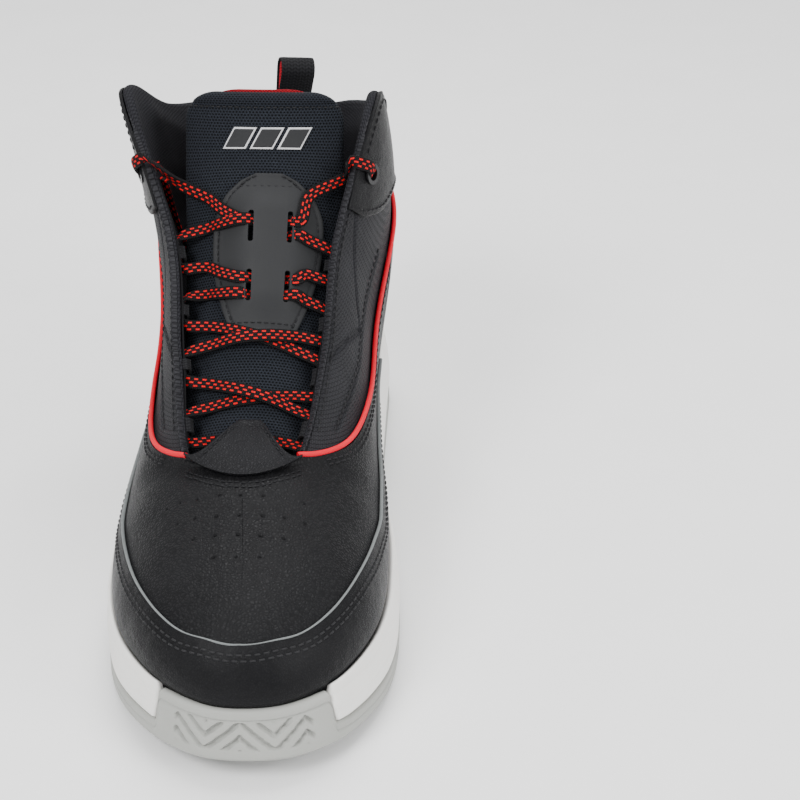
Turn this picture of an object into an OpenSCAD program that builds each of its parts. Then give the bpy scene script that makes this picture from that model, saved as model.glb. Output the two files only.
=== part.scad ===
/* [Sole] */
// Overall size against the nominal 310 mm sole
size_factor = 1; // [0.85:0.01:1.05]
// Thickness of the rubber outsole
outsole_t = 5; // [4:0.5:6]
// How far the sole stands out beyond the upper
sole_flare = 4.8; // [4:0.1:6]
// Thickness of the loose insole
insole_t = 4.5; // [3:0.5:6]
// Height of the rubber toe bumper above the upper's base
bumper_h = 4; // [2:0.5:8]

/* [Upper] */
// Thickness of the leather panels
leather_t = 1.4; // [1:0.1:1.4]
// Thickness of the padding in the ankle collar
collar_pad = 4; // [2:0.5:5]
// Radius of the punched lace eyelets
eyelet_r = 2.6; // [2.5:0.1:3]

/* [Tongue] */
// Thickness of the tongue padding
tongue_pad = 6; // [3:0.5:7]

/* [Pull loop] */
// Width of the heel loop's webbing
loop_w = 15; // [10:1:20]
// Height of the heel loop
loop_h = 20; // [16:1:24]
// Thickness of the webbing
webbing_t = 1.8; // [1.2:0.1:2]

/* [Laces] */
// Width of the oval lace
lace_w = 4.6; // [4:0.1:4.8]
// Thickness of the oval lace
lace_t = 1.8; // [1.4:0.1:1.8]

/* [Hidden] */
$fn = 32;

lateral = 1;
medial = -1;

// The upper is a ring of cross-sections: toe, lateral side, heel, medial side. Each is a cubic
// through [base, base handle, top handle, top], where the top follows the vamp's ridge, then the
// throat's edge, then the collar's rim. X is positive on the medial side.
TOE = [[0, -148, 25], [0, -151, 40], [0, -138, 56], [-1, -116, 60]];
HEEL = [[0, 148, 32.5], [0, 156, 66], [0, 141, 100], [0, 146, 134]];
LATERAL = [
    [[-15, -144.5, 25], [-16, -148, 41], [-12, -134, 57], [-1, -112, 61]],
    [[-32, -131, 25], [-35, -133, 44], [-23, -122, 59], [-1.5, -105, 62.5]],
    [[-46, -107, 25], [-50, -107, 46], [-31, -102, 63.5], [-2.5, -94, 65]],
    [[-53, -76, 25], [-56, -75, 50], [-33, -80, 68.5], [-4, -79, 68.5]],
    [[-54, -50, 26], [-58, -50, 54], [-34, -60, 73.5], [-5, -65, 72]],
    [[-52.5, -28, 28], [-56, -28, 55], [-42, -42, 74], [-26, -56, 74]],
    [[-49, 8, 30], [-52, 2, 62], [-44, -6, 88], [-34, -18, 97]],
    [[-43, 42, 32], [-50, 40, 72], [-48, 28, 106], [-40, 18, 131]],
    [[-40, 80, 34], [-46, 78, 84], [-54, 66, 132], [-62, 58, 175]],
    [[-38, 112, 34], [-43, 112, 80], [-45, 104, 122], [-50, 94, 156]],
    [[-29, 137, 33], [-34, 141, 70], [-30, 132, 108], [-29, 134, 143]]];
MEDIAL = [
    [[17, -144.5, 25], [18, -148, 41], [12, -134, 57], [-1, -112, 61]],
    [[33, -131, 25], [36, -132, 45], [22, -122, 59], [-1.5, -105, 62.5]],
    [[44.5, -105, 25], [48.5, -105, 48], [27, -102, 63.5], [-2.5, -94, 65]],
    [[48, -76, 25], [51, -76, 52], [26, -80, 68.5], [-4, -79, 68.5]],
    [[47.5, -52, 26], [51, -52, 56], [26, -60, 73.5], [-5, -65, 72]],
    [[45.5, -32, 28], [50.5, -32, 56], [30, -42, 75], [15, -55, 74.5]],
    [[41, 0, 30], [46, -2, 62], [39, -8, 88], [22, -18, 97]],
    [[38, 38, 32], [45, 38, 74], [43, 26, 108], [28, 18, 131]],
    [[38, 80, 34], [47, 80, 84], [53, 66, 130], [42, 58, 176]],
    [[38, 112, 34], [45, 112, 80], [44, 104, 122], [43, 94, 158]],
    [[29, 137, 33], [34, 141, 70], [30, 132, 108], [28, 134, 143]]];
RING = [TOE, each LATERAL, HEEL, each [for (i = [len(MEDIAL) - 1:-1:0]) MEDIAL[i]]];
RIDGE_END = 5;  // station where the vamp's ridge ends and the throat begins
THROAT_CORNER = [RIDGE_END, RIDGE_END + 1];  // where the skin turns up into the throat
NORMAL_STEP = 0.01;
NORMAL_TOP = 0.98;

// Seams on the upper, as [station, share of the height], the same on both sides
MUD_EDGE = [[0, 0.555], [0.9, 0.54], [1.55, 0.495], [2.25, 0.465], [3.1, 0.42], [4.1, 0.32],
    [5.1, 0.25], [6.2, 0.27], [7.3, 0.25], [8.58, 0.13]];
PIPE_EDGE = [[5.95, 0.99], [5.85, 0.84], [6, 0.7], [6.35, 0.58], [7, 0.47], [7.6, 0.42],
    [8.3, 0.46], [9.2, 0.55], [10.2, 0.67], [11.3, 0.78]];
COLLAR_EDGE = [[8.2, 0.97], [8.32, 0.83], [8.65, 0.7], [9.3, 0.66], [10.2, 0.76], [11.3, 0.86]];

// Layers of the upper, as depths from the leather's outer face
overlay = [0.2, 0.2 + leather_t];
outer = [-leather_t, 0];
quarter = [-0.5 - 2 * leather_t, -0.5 - leather_t];
stiffener = [-4.3, -3.6];
lining_out = -4.9;
lining_t = 1.2;

function mix(a, b, t) = a + (b - a) * t;
function smooth(lo, hi, x) = let (t = max(0, min(1, (x - lo) / (hi - lo)))) t * t * (3 - 2 * t);
function unit(v) = v / norm(v);
function flat(lists) = [for (list = lists) each list];

// Slope of a spline at b that never overshoots its neighbours
function slope1(a, b, c) = (b - a) * (c - b) <= 0 ? 0
    : sign(c - b) * min(abs(c - a) / 2, 3 * abs(b - a), 3 * abs(c - b));
function slope(a, b, c) = is_num(b) ? slope1(a, b, c) : [for (i = [0:len(b) - 1]) slope(a[i], b[i], c[i])];
function hermite(b, c, mb, mc, t) = b * (2 * t * t * t - 3 * t * t + 1) + mb * (t * t * t - 2 * t * t + t)
    + c * (3 * t * t - 2 * t * t * t) + mc * (t * t * t - t * t);
function spline(p, s) = let (n = len(p) - 1, i = max(0, min(n - 1, floor(s))), a = p[max(i - 1, 0)],
    d = p[min(i + 2, n)], mb = i == 0 ? p[1] - p[0] : slope(a, p[i], p[i + 1]),
    mc = i == n - 1 ? p[n] - p[n - 1] : slope(p[i], p[i + 1], d))
    hermite(p[i], p[i + 1], mb, mc, s - i);
function along(p, share) = spline(p, share * (len(p) - 1));

// The upper's outer face: u counts stations from the toe, positive on the lateral side; v runs from
// the base to the top; d is the depth out of the surface
function ring(i) = let (n = len(RING)) RING[((i % n) + n) % n];
function section(u) = let (i = floor(u)) hermite(ring(i), ring(i + 1),
    slope(ring(i - 1), ring(i), ring(i + 1)), slope(ring(i), ring(i + 1), ring(i + 2)), u - i);
function hide(u, v) = let (p = section(u), w = 1 - v)
    p[0] * w * w * w + p[1] * 3 * w * w * v + p[2] * 3 * w * v * v + p[3] * v * v * v;
function true_normal(u, v) = let (e = NORMAL_STEP, w = min(max(v, e), NORMAL_TOP))
    unit(cross(hide(u, w + e) - hide(u, w - e), hide(u + e, w) - hide(u - e, w)));
function carried_normal(u, v) = let (a = abs(u), n = THROAT_CORNER, side = sign(u))
    unit(mix(true_normal(side * n[0], v), true_normal(side * n[1], v), a - n[0]));
function normal_at(u, v) = abs(u) <= THROAT_CORNER[0] || abs(u) >= THROAT_CORNER[1] ? true_normal(u, v)
    : unit(mix(true_normal(u, v), carried_normal(u, v), smooth(0.62, 0.8, v)));
function on_ridge(u, v) = v > 0.999 && abs(u) <= RIDGE_END;
function upper(u, v, d) = on_ridge(u, v)
    ? hide(abs(u), 1) + unit(normal_at(u, 1) + normal_at(-u, 1)) * d
    : hide(u, v) + normal_at(u, v) * d;

// A closed solid between two grids of points with the same rows and columns. fold(i) says which
// columns close onto their mirror image along the last row, instead of ending in a wall.
module slab(outside, inside, folds = function(i) false) {
    nu = len(outside) - 1;
    nv = len(outside[0]) - 1;
    side = (nu + 1) * (nv + 1);
    function at(i, j) = (j == nv && folds(i) && i > nu / 2 ? nu - i : i) * (nv + 1) + j;
    function quad(a, b, c, d) = [[a, b, c], [a, c, d]];
    skins = [for (i = [0:nu - 1], j = [0:nv - 1]) each concat(
        quad(at(i, j), at(i, j + 1), at(i + 1, j + 1), at(i + 1, j)),
        quad(side + at(i, j), side + at(i + 1, j), side + at(i + 1, j + 1), side + at(i, j + 1)))];
    rims = [for (i = [0:nu - 1]) each concat(
        quad(at(i, 0), at(i + 1, 0), side + at(i + 1, 0), side + at(i, 0)),
        folds(i) && folds(i + 1) ? [] : quad(at(i + 1, nv), at(i, nv), side + at(i, nv), side + at(i + 1, nv)))];
    ends = [for (j = [0:nv - 1]) each concat(
        quad(at(0, j + 1), at(0, j), side + at(0, j), side + at(0, j + 1)),
        quad(at(nu, j), at(nu, j + 1), side + at(nu, j + 1), side + at(nu, j)))];
    polyhedron(flat(concat(inside, outside)), concat(skins, rims, ends), convexity = 6);
}

// A panel of the upper between two seams, low and high, each a function of the share along it that
// gives [u, v]. depths(u, v) gives its inner and outer faces.
module panel(low, high, nu, nv, depths, folds = function(i) false) {
    function seam(i, j) = mix(low(i / nu), high(i / nu), j / nv);
    function face(k) = [for (i = [0:nu]) [for (j = [0:nv])
        let (p = seam(i, j), at = depths(p[0], p[1])) upper(p[0], p[1], at[k])]];
    turned = low(1)[0] < low(0)[0] ? 1 : 0;
    scale(size_factor) slab(face(1 - turned), face(turned), folds);
}
function level(u0, u1, v) = function(t) [mix(u0, u1, t), v];
function on_side(side, edge) = function(t) let (p = along(edge, t)) [side * p[0], p[1]];
function both_sides(edge) = function(t) let (s = 2 * t - 1, p = along(edge, abs(s))) [sign(s) * p[0], p[1]];
function layer(at) = function(u, v) at;

// Sole: the upper's base outline, pushed outward by off, at the height z
TOE_SPRING = [-80, 0.0022];
HEEL_BEVEL = [118, 0.004];
BUMPER_SPAN = [1.5, 2.1];
SOLE_STATIONS = 72;
function base(u) = section(u)[0];
function outward(u) = let (e = NORMAL_STEP, d = base(u + e) - base(u - e)) unit([-d[1], d[0], 0]);
function ground(y) = y < TOE_SPRING[0] ? TOE_SPRING[1] * pow(TOE_SPRING[0] - y, 2)
    : y > HEEL_BEVEL[0] ? HEEL_BEVEL[1] * pow(y - HEEL_BEVEL[0], 2) : 0;
function from_toe(u) = let (n = len(RING), a = ((u % n) + n) % n) min(a, n - a);
function bumper(u) = 1 - smooth(BUMPER_SPAN[0], BUMPER_SPAN[1], from_toe(u));
function heel_rise(u) = smooth(8, 12, from_toe(u));
function sole_off(u) = sole_flare - 0.6 * sin(15 * u) + 3 * (1 - smooth(0.6, 2.4, from_toe(u)))
    + 1.5 * heel_rise(u);
function wall_off(u) = mix(sole_off(u) - 1.6, 2.2, bumper(u));
function rim_z(u) = mix(ground(base(u)[1]) + outsole_t + 3, base(u)[2] + bumper_h, bumper(u));
function lip_z(u) = base(u)[2] + mix(mix(6, 11, heel_rise(u)), 0, bumper(u));
function edge_point(u, off, z) = let (p = base(u) + outward(u) * off) [p[0], p[1], z];
function ground_edge(u, off, z) = let (p = edge_point(u, off, 0)) [p[0], p[1], ground(p[1]) + z];

// A closed solid from rings of points round the sole. The first and last rings are closed by
// strips from side to side.
module rings(profile) {
    n = SOLE_STATIONS;
    half = n / 2;
    k = len(profile(0));
    points = [for (i = [0:n - 1]) each profile(i * len(RING) / n)];
    walls = [for (i = [0:n - 1], j = [0:k - 2]) let (h = (i + 1) % n)
        each [[i * k + j, h * k + j + 1, i * k + j + 1], [i * k + j, h * k + j, h * k + j + 1]]];
    function strip(j, up) = [for (i = [0:half - 1]) let (a = i * k + j, b = (i + 1) * k + j,
        c = ((n - i - 1) % n) * k + j, d = ((n - i) % n) * k + j)
        each i == 0 ? [up ? [a, b, c] : [a, c, b]]
            : i == half - 1 ? [up ? [a, b, d] : [a, d, b]]
            : up ? [[a, b, c], [a, c, d]] : [[a, c, b], [a, d, c]]];
    scale(size_factor) polyhedron(points, concat(walls, strip(0, false), strip(k - 1, true)), convexity = 6);
}
module outsole() {
    color("gainsboro") rings(function(u) [
        ground_edge(u, sole_off(u) - 2, 0),
        ground_edge(u, sole_off(u), 2.5),
        edge_point(u, sole_off(u), mix(ground(base(u)[1]) + outsole_t, rim_z(u), 0.5)),
        edge_point(u, wall_off(u) + 1.5, rim_z(u)),
        edge_point(u, wall_off(u) + 0.2, rim_z(u)),
        ground_edge(u, wall_off(u) + 0.2, outsole_t)]);
}
SHANK = [7.2, 9.6, 14];  // from station, to station, half width
module shank_plate(grow, lift) {
    nu = 6;
    function row(z) = [for (i = [0:nu]) let (u = mix(SHANK[0] - grow / 10, SHANK[1] + grow / 10, i / nu),
        p = base(u)) [for (x = [-1, 1]) [x * (SHANK[2] + grow), p[1], p[2] - z]]];
    scale(size_factor) slab(row(2.1 - lift), row(4.2 + grow));
}
module midsole() {
    function step_z(u) = min(rim_z(u) + 0.15, lip_z(u) - 0.6);
    color("white") difference() {
        rings(function(u) [
            ground_edge(u, wall_off(u), outsole_t + 0.1),
            edge_point(u, wall_off(u), step_z(u)),
            edge_point(u, mix(sole_off(u) - 0.4, 2.2, bumper(u)), mix(step_z(u), lip_z(u), 0.35)),
            edge_point(u, mix(3.2, 2.2, bumper(u)), lip_z(u)),
            edge_point(u, mix(1.9, 0.9, bumper(u)), lip_z(u)),
            edge_point(u, mix(1.9, 0.9, bumper(u)), base(u)[2] - 2)]);
        shank_plate(0.3, 1);
    }
}
module shank() {
    color("dimgray") shank_plate(0, 0);
}
module strobel_board() {
    color("beige") rings(function(u) [edge_point(u, 0.5, base(u)[2] - 1.8), edge_point(u, 0.5, base(u)[2] - 0.2)]);
}
module insole() {
    inset = lining_out - lining_t - 0.8;
    color("dimgray") rings(function(u) [
        edge_point(u, inset - 1, base(u)[2] + 0.4),
        edge_point(u, inset, base(u)[2] + insole_t / 2),
        edge_point(u, inset - 0.5, base(u)[2] + insole_t)]);
}

// Leather panels
vamp_nu = 32;
VAMP_END = [8.7, 0.49];
function vamp_top(t) = let (s = 2 * t - 1, side = sign(s), a = abs(s) * 2)
    a <= 1 ? [side * mix(0, 6, a), 1]
    : let (p = along([each [for (i = [0:6]) PIPE_EDGE[i]], VAMP_END], a - 1)) [side * p[0], p[1]];
function vamp_base(t) = let (s = 2 * t - 1, side = sign(s), a = abs(s))
    [side * (a < 0.5 ? mix(0, 5.6, a * 2) : mix(5.6, 8.62, a * 2 - 1)), 0.15];
function vamp_folds(i) = abs(vamp_top(i / vamp_nu)[0]) <= RIDGE_END && abs(2 * i / vamp_nu - 1) <= 0.5;
module vamp() {
    color("#1c1c1e") panel(function(t) vamp_base(t), function(t) vamp_top(t), vamp_nu, 10, layer(outer),
        function(i) vamp_folds(i));
}
module mudguard() {
    color("#151517") panel(both_sides([for (p = MUD_EDGE) [p[0], 0]]), both_sides(MUD_EDGE), 34, 5,
        function(u, v) mix([-1.2, 0.2], overlay, smooth(0.06, 0.14, v)));
}
module toe_puff() {
    color("khaki") panel(level(-3, 3, 0.05), level(-3, 3, 0.72), 18, 8, layer([-3, -1.9]));
}
module vamp_lining() {
    nu = 24;
    reach = 5.6;
    color("#202022") panel(level(-reach, reach, 0.02), function(t) [mix(-reach, reach, t),
        mix(1, 0.93, smooth(RIDGE_END, reach, abs(mix(-reach, reach, t))))], nu, 9, layer([-4.7, -3.6]),
        function(i) abs(mix(-reach, reach, i / nu)) <= RIDGE_END);
}
module quarter_panel(side) {
    color("#26262a") difference() {
        panel(on_side(side, [for (p = PIPE_EDGE) [max(p[0], 5.7), p[1] - 0.06]]),
            level(side * 6.1, side * 11.3, 0.985), 24, 8, layer(quarter));
        collar_holes(side);
    }
}
module piping(side) {
    run = [for (i = [0:len(PIPE_EDGE) - 1]) PIPE_EDGE[i] + (i == 0 ? [0.05, 0] : i < 3 ? [0.1, 0.01] : [0, 0.012])];
    color("crimson") panel(on_side(side, run), on_side(side, [for (i = [0:len(run) - 1])
        run[i] + (i < 3 ? [0.12, 0.015] : [0, 0.035])]), 30, 1, layer([-leather_t, -0.5]));
}
module collar_panel(side) {
    color("#18181a") difference() {
        panel(on_side(side, COLLAR_EDGE), level(side * 8.4, side * 11.3, 0.985), 22, 8, layer(outer));
        collar_holes(side);
    }
}
module heel_panel() {
    wrap = len(RING);
    function around(edge) = function(t) t < 0.5 ? along(edge, t * 2)
        : let (p = along(edge, 2 - t * 2)) [wrap - p[0], p[1]];
    top = [[8.74, 0.495], [9.2, 0.55], [10.2, 0.67], [11.3, 0.78], [12, 0.8]];
    color("#18181a") panel(around([for (p = top) [p[0] - 0.1 * (12 - p[0]) / 3.2, 0.04]]),
        around([for (p = top) p - [0, 0.004]]), 24, 7, layer(outer));
}
module heel_counter() {
    color("khaki") panel(level(9.4, 14.6, 0.03), level(9.6, 14.4, 0.55), 18, 4, layer(stiffener));
}
module backstay() {
    color("#101012") panel(level(11.62, 12.38, 0.135), level(11.5, 12.5, 0.985), 4, 10, layer([0.2, 1.2]));
}
module eyestay(side) {
    color("#202022") panel(level(side * 6.25, side * 8.3, 0.84), level(side * 6.15, side * 8.3, 0.975), 14, 1,
        layer(stiffener));
}

// Padded collar: foam and lining share one swelling inner face
COLLAR_FRONT = 8.5;
function swell(u, v) = collar_pad * smooth(0.5, 0.72, v) * (1 - smooth(0.86, 1, v))
    * smooth(8.6, 9.4, from_toe(u));
module collar_foam(side) {
    color("gold") difference() {
        panel(level(side * COLLAR_FRONT, side * 11.9, 0.6), level(side * COLLAR_FRONT, side * 11.9, 0.965),
            16, 7, function(u, v) [lining_out + 0.3 - swell(u, v), stiffener[1] - 0.5]);
        collar_holes(side);
    }
}
module collar_lining(side) {
    color("#232326") difference() {
        panel(level(side * 5.8, side * 11.97, 0.02), level(side * 6.05, side * 11.97, 0.985),
            20, 10, function(u, v) [lining_out - lining_t - swell(u, v), lining_out - swell(u, v)]);
        collar_holes(side);
    }
}

// Eyelets: a punched hole through each collar flap
EYELETS = [[8.5, 0.9]];
module at_eyelet(side, p) {
    n = normal_at(side * p[0], p[1]);
    scale(size_factor) translate(upper(side * p[0], p[1], 0)) rotate([0, acos(n[2]), atan2(n[1], n[0])]) children();
}
module collar_holes(side) {
    for (p = EYELETS) at_eyelet(side, p) translate([0, 0, -12]) cylinder(r = eyelet_r + 0.8, h = 15);
}
module eyelets() {
    color("#0c0c0e") for (side = [lateral, medial], p = EYELETS) at_eyelet(side, p) difference() {
        union() {
            translate([0, 0, -5.4]) cylinder(r = eyelet_r + 0.6, h = 6);
            translate([0, 0, 0.35]) cylinder(r = eyelet_r + 1.6, h = 0.8);
        }
        translate([0, 0, -6]) cylinder(r = eyelet_r, h = 8);
    }
}

// Tongue: a crowned sheet that follows its centre line up from under the vamp. s runs across it
// from -1 to 1, t from its base to its top.
TONGUE_LINE = [[-72, 61], [-46, 71], [-16, 94], [14, 123.5], [36, 152], [47, 180]];
TONGUE_HALF = [23, 27, 30, 32, 33.5, 33];
TONGUE_MID = [-5, -5, -4.5, -4, -3.8, -3.7];
TONGUE_CROWN = [5, 11, 15, 16, 14, 10];
TONGUE_THICK = [0.4, 0.6, 0.8, 1, 1.15, 0.9];
function tongue_t(t) = t * (len(TONGUE_LINE) - 1);
function tongue_line(t) = spline(TONGUE_LINE, tongue_t(t));
function tongue_sheet(s, t) = let (c = tongue_line(t), e = 0.01, d = unit(tongue_line(t + e) - tongue_line(t - e)),
    drop = spline(TONGUE_CROWN, tongue_t(t)) * s * s)
    [spline(TONGUE_MID, tongue_t(t)) + s * spline(TONGUE_HALF, tongue_t(t)), c[0] + d[1] * drop, c[1] - d[0] * drop];
function tongue_normal(s, t) = let (e = 0.01, w = max(e, min(1 - e, t)))
    unit(cross(tongue_sheet(s + e, w) - tongue_sheet(s - e, w), tongue_sheet(s, w + e) - tongue_sheet(s, w - e)));
function tongue(s, t, d) = tongue_sheet(s, t) + tongue_normal(s, t) * d;
function tongue_depth(t) = tongue_pad * spline(TONGUE_THICK, tongue_t(t));
module tongue_patch(across, t0, t1, ns, nt, depths) {
    function face(k) = [for (i = [0:ns]) [for (j = [0:nt])
        let (t = mix(t0, t1, j / nt), x = across(t), s = mix(x[0], x[1], i / ns)) tongue(s, t, depths(s, t)[k])]];
    scale(size_factor) slab(face(0), face(1));
}
function pad_edge(s) = 1 - 0.55 * pow(abs(s), 4);
module tongue_cover() {
    color("#1f2124") tongue_patch(function(t) [-1, 1], 0, 1, 12, 14, function(s, t) [-1.2, 0]);
}
module tongue_foam() {
    color("gold") tongue_patch(function(t) [-0.96, 0.96], 0.04, 0.985, 12, 12,
        function(s, t) [-1.6 - tongue_depth(t) * pad_edge(s), -1.6]);
}
module tongue_lining() {
    color("crimson") tongue_patch(function(t) [-1, 1], 0.02, 1, 12, 12,
        function(s, t) [-3.1 - tongue_depth(t) * pad_edge(s), -2 - tongue_depth(t) * pad_edge(s)]);
}
PLATE_SPAN = [0.448, 0.783];
PLATE_HALF = [0.26, 0.54, 0.61, 0.61, 0.58, 0.5, 0.2];
PLATE_MID = 0.12;
SLOT_ROWS = [0.536, 0.658];
SLOT_S = 0.25;
SLOT = [4.2, 11.8];
BRIDGE_RISE = 4.3;
function bridge(s, t) = BRIDGE_RISE * (1 - smooth(0.19, 0.31, abs(s - PLATE_MID)))
    * max([for (row = SLOT_ROWS) 1 - smooth(0.04, 0.055, abs(t - row))]);
module tongue_plate() {
    function half(t) = along(PLATE_HALF, (t - PLATE_SPAN[0]) / (PLATE_SPAN[1] - PLATE_SPAN[0]));
    color("#2a2b2e") difference() {
        tongue_patch(function(t) [PLATE_MID - half(t), PLATE_MID + half(t)], PLATE_SPAN[0], PLATE_SPAN[1], 16, 16,
            function(s, t) [0.3, 1.7] + [1, 1] * bridge(s, t));
        for (row = SLOT_ROWS, side = [-1, 1]) let (s = PLATE_MID + side * SLOT_S, n = tongue_normal(s, row))
            scale(size_factor) translate(tongue(s, row, 2)) rotate([90 - asin(n[2]), 0, 0])
            cube([SLOT[0], SLOT[1], 9], center = true);
    }
}
BADGE_BARS = [-0.26, 0.06, 0.38];
module tongue_badge() {
    lean = 2.4;
    color("gray") for (mid = BADGE_BARS) tongue_patch(
        function(t) [mid - 0.11, mid + 0.11] + [1, 1] * lean * (t - 0.872), 0.852, 0.892, 3, 3,
        function(s, t) [0.2, 1.2]);
}
TAB_TIP = 0.255;
TAB_UP = [0, -0.5, 0.85];
module throat_tab() {
    nu = 10;
    nv = 6;
    function foot(s) = abs(s) < 0.01 ? upper(RIDGE_END, 1, 1.8)
        : upper(-sign(s) * (RIDGE_END + 0.92 * abs(s)), 0.97, 1.8);
    function at(i, j, d) = let (s = 2 * i / nu - 1, rise = (1 - 0.9 * pow(abs(s), 1.8)) * j / nv)
        mix(foot(s), tongue(0.03 + 0.58 * s, TAB_TIP, 3.4 + 11 * s * s), rise) + TAB_UP * 10 * rise * (1 - rise)
        + tongue_normal(0.6 * s, 0.2) * d;
    function face(d) = [for (i = [0:nu]) [for (j = [0:nv]) at(i, j, d)]];
    color("#1a1a1c") scale(size_factor) slab(face(0), face(1.3));
}

// Heel loop: webbing sewn to the backstay, standing on the collar's rim
LOOP_FOOT = [0, 148.1, 135.8];
LOOP_LEAN = 7;
loop_gap = 7;
LOOP_TOE = 1.4;  // radius of the folded foot
module heel_loop() {
    r = loop_gap / 2 + webbing_t;
    color("#121214") scale(size_factor) translate(LOOP_FOOT) rotate([0, LOOP_LEAN, 0]) rotate([90, 0, 90])
    linear_extrude(loop_w, center = true) difference() {
        loop_shape(r);
        offset(delta = -webbing_t) loop_shape(r);
    }
}
module loop_shape(r) {
    hull() {
        translate([0, loop_h - r]) circle(r);
        circle(LOOP_TOE);
    }
}
module heel_loop_anchor() {
    color("#121214") panel(level(11.75, 12.25, 0.78), level(11.75, 12.25, 0.98), 2, 5, layer([1.3, 1.3 + webbing_t]));
}

// Laces. A route point is [across, up, depth] on the tongue, or [side, station, height, depth]
// on the upper. Under each eyestay the lace turns through a webbing loop between two stations.
TURN_V = 0.955;
TURN_DEPTH = -8.5;
LATERAL_TURNS = [[6.23, 6.49], [6.8, 7.01], [7.31, 7.53], [7.8, 8.02]];
MEDIAL_TURNS = [[6.17, 6.46], [6.69, 6.96], [7.2, 7.45], [7.73, 7.94]];
LACE_SIDES = 8;
LOW = 1.65;
HIGH = 3.95;
ON_PLATE = 3.1;
function route_point(p) = len(p) == 3 ? tongue(p[0], p[1], p[2]) : upper(p[0] * p[1], p[2], p[3]);
function turn(side, from, to) = [[side, from, TURN_V, TURN_DEPTH],
    [side, mix(from, to, 0.5), TURN_V - 0.015, TURN_DEPTH], [side, to, TURN_V, TURN_DEPTH]];
// From one side of the tongue to the other, between the heights t0 and t1, at depth d in the middle
function crossing(s, t0, t1, d) = [[-0.5 * s, mix(t0, t1, 0.24), mix(LOW, d, 0.4)], [-0.16 * s, mix(t0, t1, 0.42), d],
    [0.16 * s, mix(t0, t1, 0.58), d], [0.5 * s, mix(t0, t1, 0.76), mix(LOW, d, 0.4)]];
// From the lateral to the medial side through the plate's slots in a row; one lace of each pair
// lies over the other
function through_plate(t0, t1, row, layer) = let (m = PLATE_MID, t = SLOT_ROWS[row],
    d = layer * (lace_t + 0.3), under = LOW - 0.35 + d, over = ON_PLATE + d) [
    [-0.62, mix(t0, t, 0.3), ON_PLATE], [-0.42, mix(t0, t, 0.6), ON_PLATE + d / 2],
    [m - 0.33, mix(t0, t, 0.88), over], [m - 0.2, t, under], [m, t, under - 0.05], [m + 0.2, t, under],
    [m + 0.33, mix(t, t1, 0.2), over], [0.62, mix(t, t1, 0.7), ON_PLATE + d / 2]];
function eyelet_pass(side, s, t) = let (a = EYELETS[0][0], v = EYELETS[0][1]) [[s, t, 6],
    [side, a - 0.14, 1.05, -2.5], [side, a - 0.08, 1.02, 1.8], [side, a - 0.01, v + 0.03, 2.9], [side, a, v, 0.5],
    [side, a, v, -8.5]];
function turned(points) = [for (i = [len(points) - 1:-1:0]) points[i]];
LACE_ROUTE = concat(
    turned(eyelet_pass(lateral, -0.86, 0.76)), through_plate(0.76, 0.63, 1, 0),
    turn(medial, 7.94, 7.73), turned(through_plate(0.535, 0.577, 0, 0)),
    turn(lateral, 7.53, 7.31), crossing(1, 0.485, 0.4, ON_PLATE),
    turn(medial, 6.96, 6.69), crossing(-1, 0.34, 0.29, LOW),
    turn(lateral, 6.49, 6.23), crossing(1, 0.225, 0.22, LOW),
    turn(medial, 6.17, 6.46), crossing(-1, 0.28, 0.37, HIGH),
    turn(lateral, 6.8, 7.01), crossing(1, 0.42, 0.455, ON_PLATE + 2.2),
    turn(medial, 7.2, 7.45), turned(through_plate(0.6, 0.51, 0, 1)),
    turn(lateral, 7.8, 8.02), through_plate(0.66, 0.79, 1, 1),
    eyelet_pass(medial, 0.9, 0.785));

module tube(route, ups, width, thick) {
    n = len(route) - 1;
    function tangent(i) = unit(route[min(i + 1, n)] - route[max(i - 1, 0)]);
    function ring_at(i) = let (t = tangent(i), a = unit(cross(t, ups[i])), b = cross(a, t))
        [for (k = [0:LACE_SIDES - 1]) let (w = 360 * k / LACE_SIDES)
            route[i] + a * cos(w) * width / 2 + b * sin(w) * thick / 2];
    caps = [[for (k = [LACE_SIDES - 1:-1:0]) k], [for (k = [0:LACE_SIDES - 1]) n * LACE_SIDES + k]];
    walls = [for (i = [0:n - 1], k = [0:LACE_SIDES - 1]) let (h = (k + 1) % LACE_SIDES, a = i * LACE_SIDES)
        each [[a + k, a + h, a + LACE_SIDES + h], [a + k, a + LACE_SIDES + h, a + LACE_SIDES + k]]];
    scale(size_factor) polyhedron([for (i = [0:n]) each ring_at(i)], concat(caps, walls), convexity = 8);
}
function route_up(p) = len(p) == 3 ? tongue_normal(p[0], p[1]) : normal_at(p[0] * p[1], min(p[2], NORMAL_TOP));
module lace() {
    color("#a01818") tube([for (p = LACE_ROUTE) route_point(p)], [for (p = LACE_ROUTE) route_up(p)], lace_w, lace_t);
}
module lace_loops(side, turns) {
    module sleeve(from, to, grow) {
        run = [for (a = [from, mix(from, to, 0.5), to]) [side, a, TURN_V, TURN_DEPTH]];
        tube([for (p = run) route_point(p)], [for (p = run) route_up(p)], lace_w + grow[0], lace_t + grow[1]);
    }
    color("#18181a") for (span = turns) difference() {
        sleeve(span[0] + 0.07, span[1] - 0.07, [3.2, 2.5]);
        sleeve(span[0] - 0.1, span[1] + 0.1, [2.8, 2.1]);
    }
}

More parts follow.
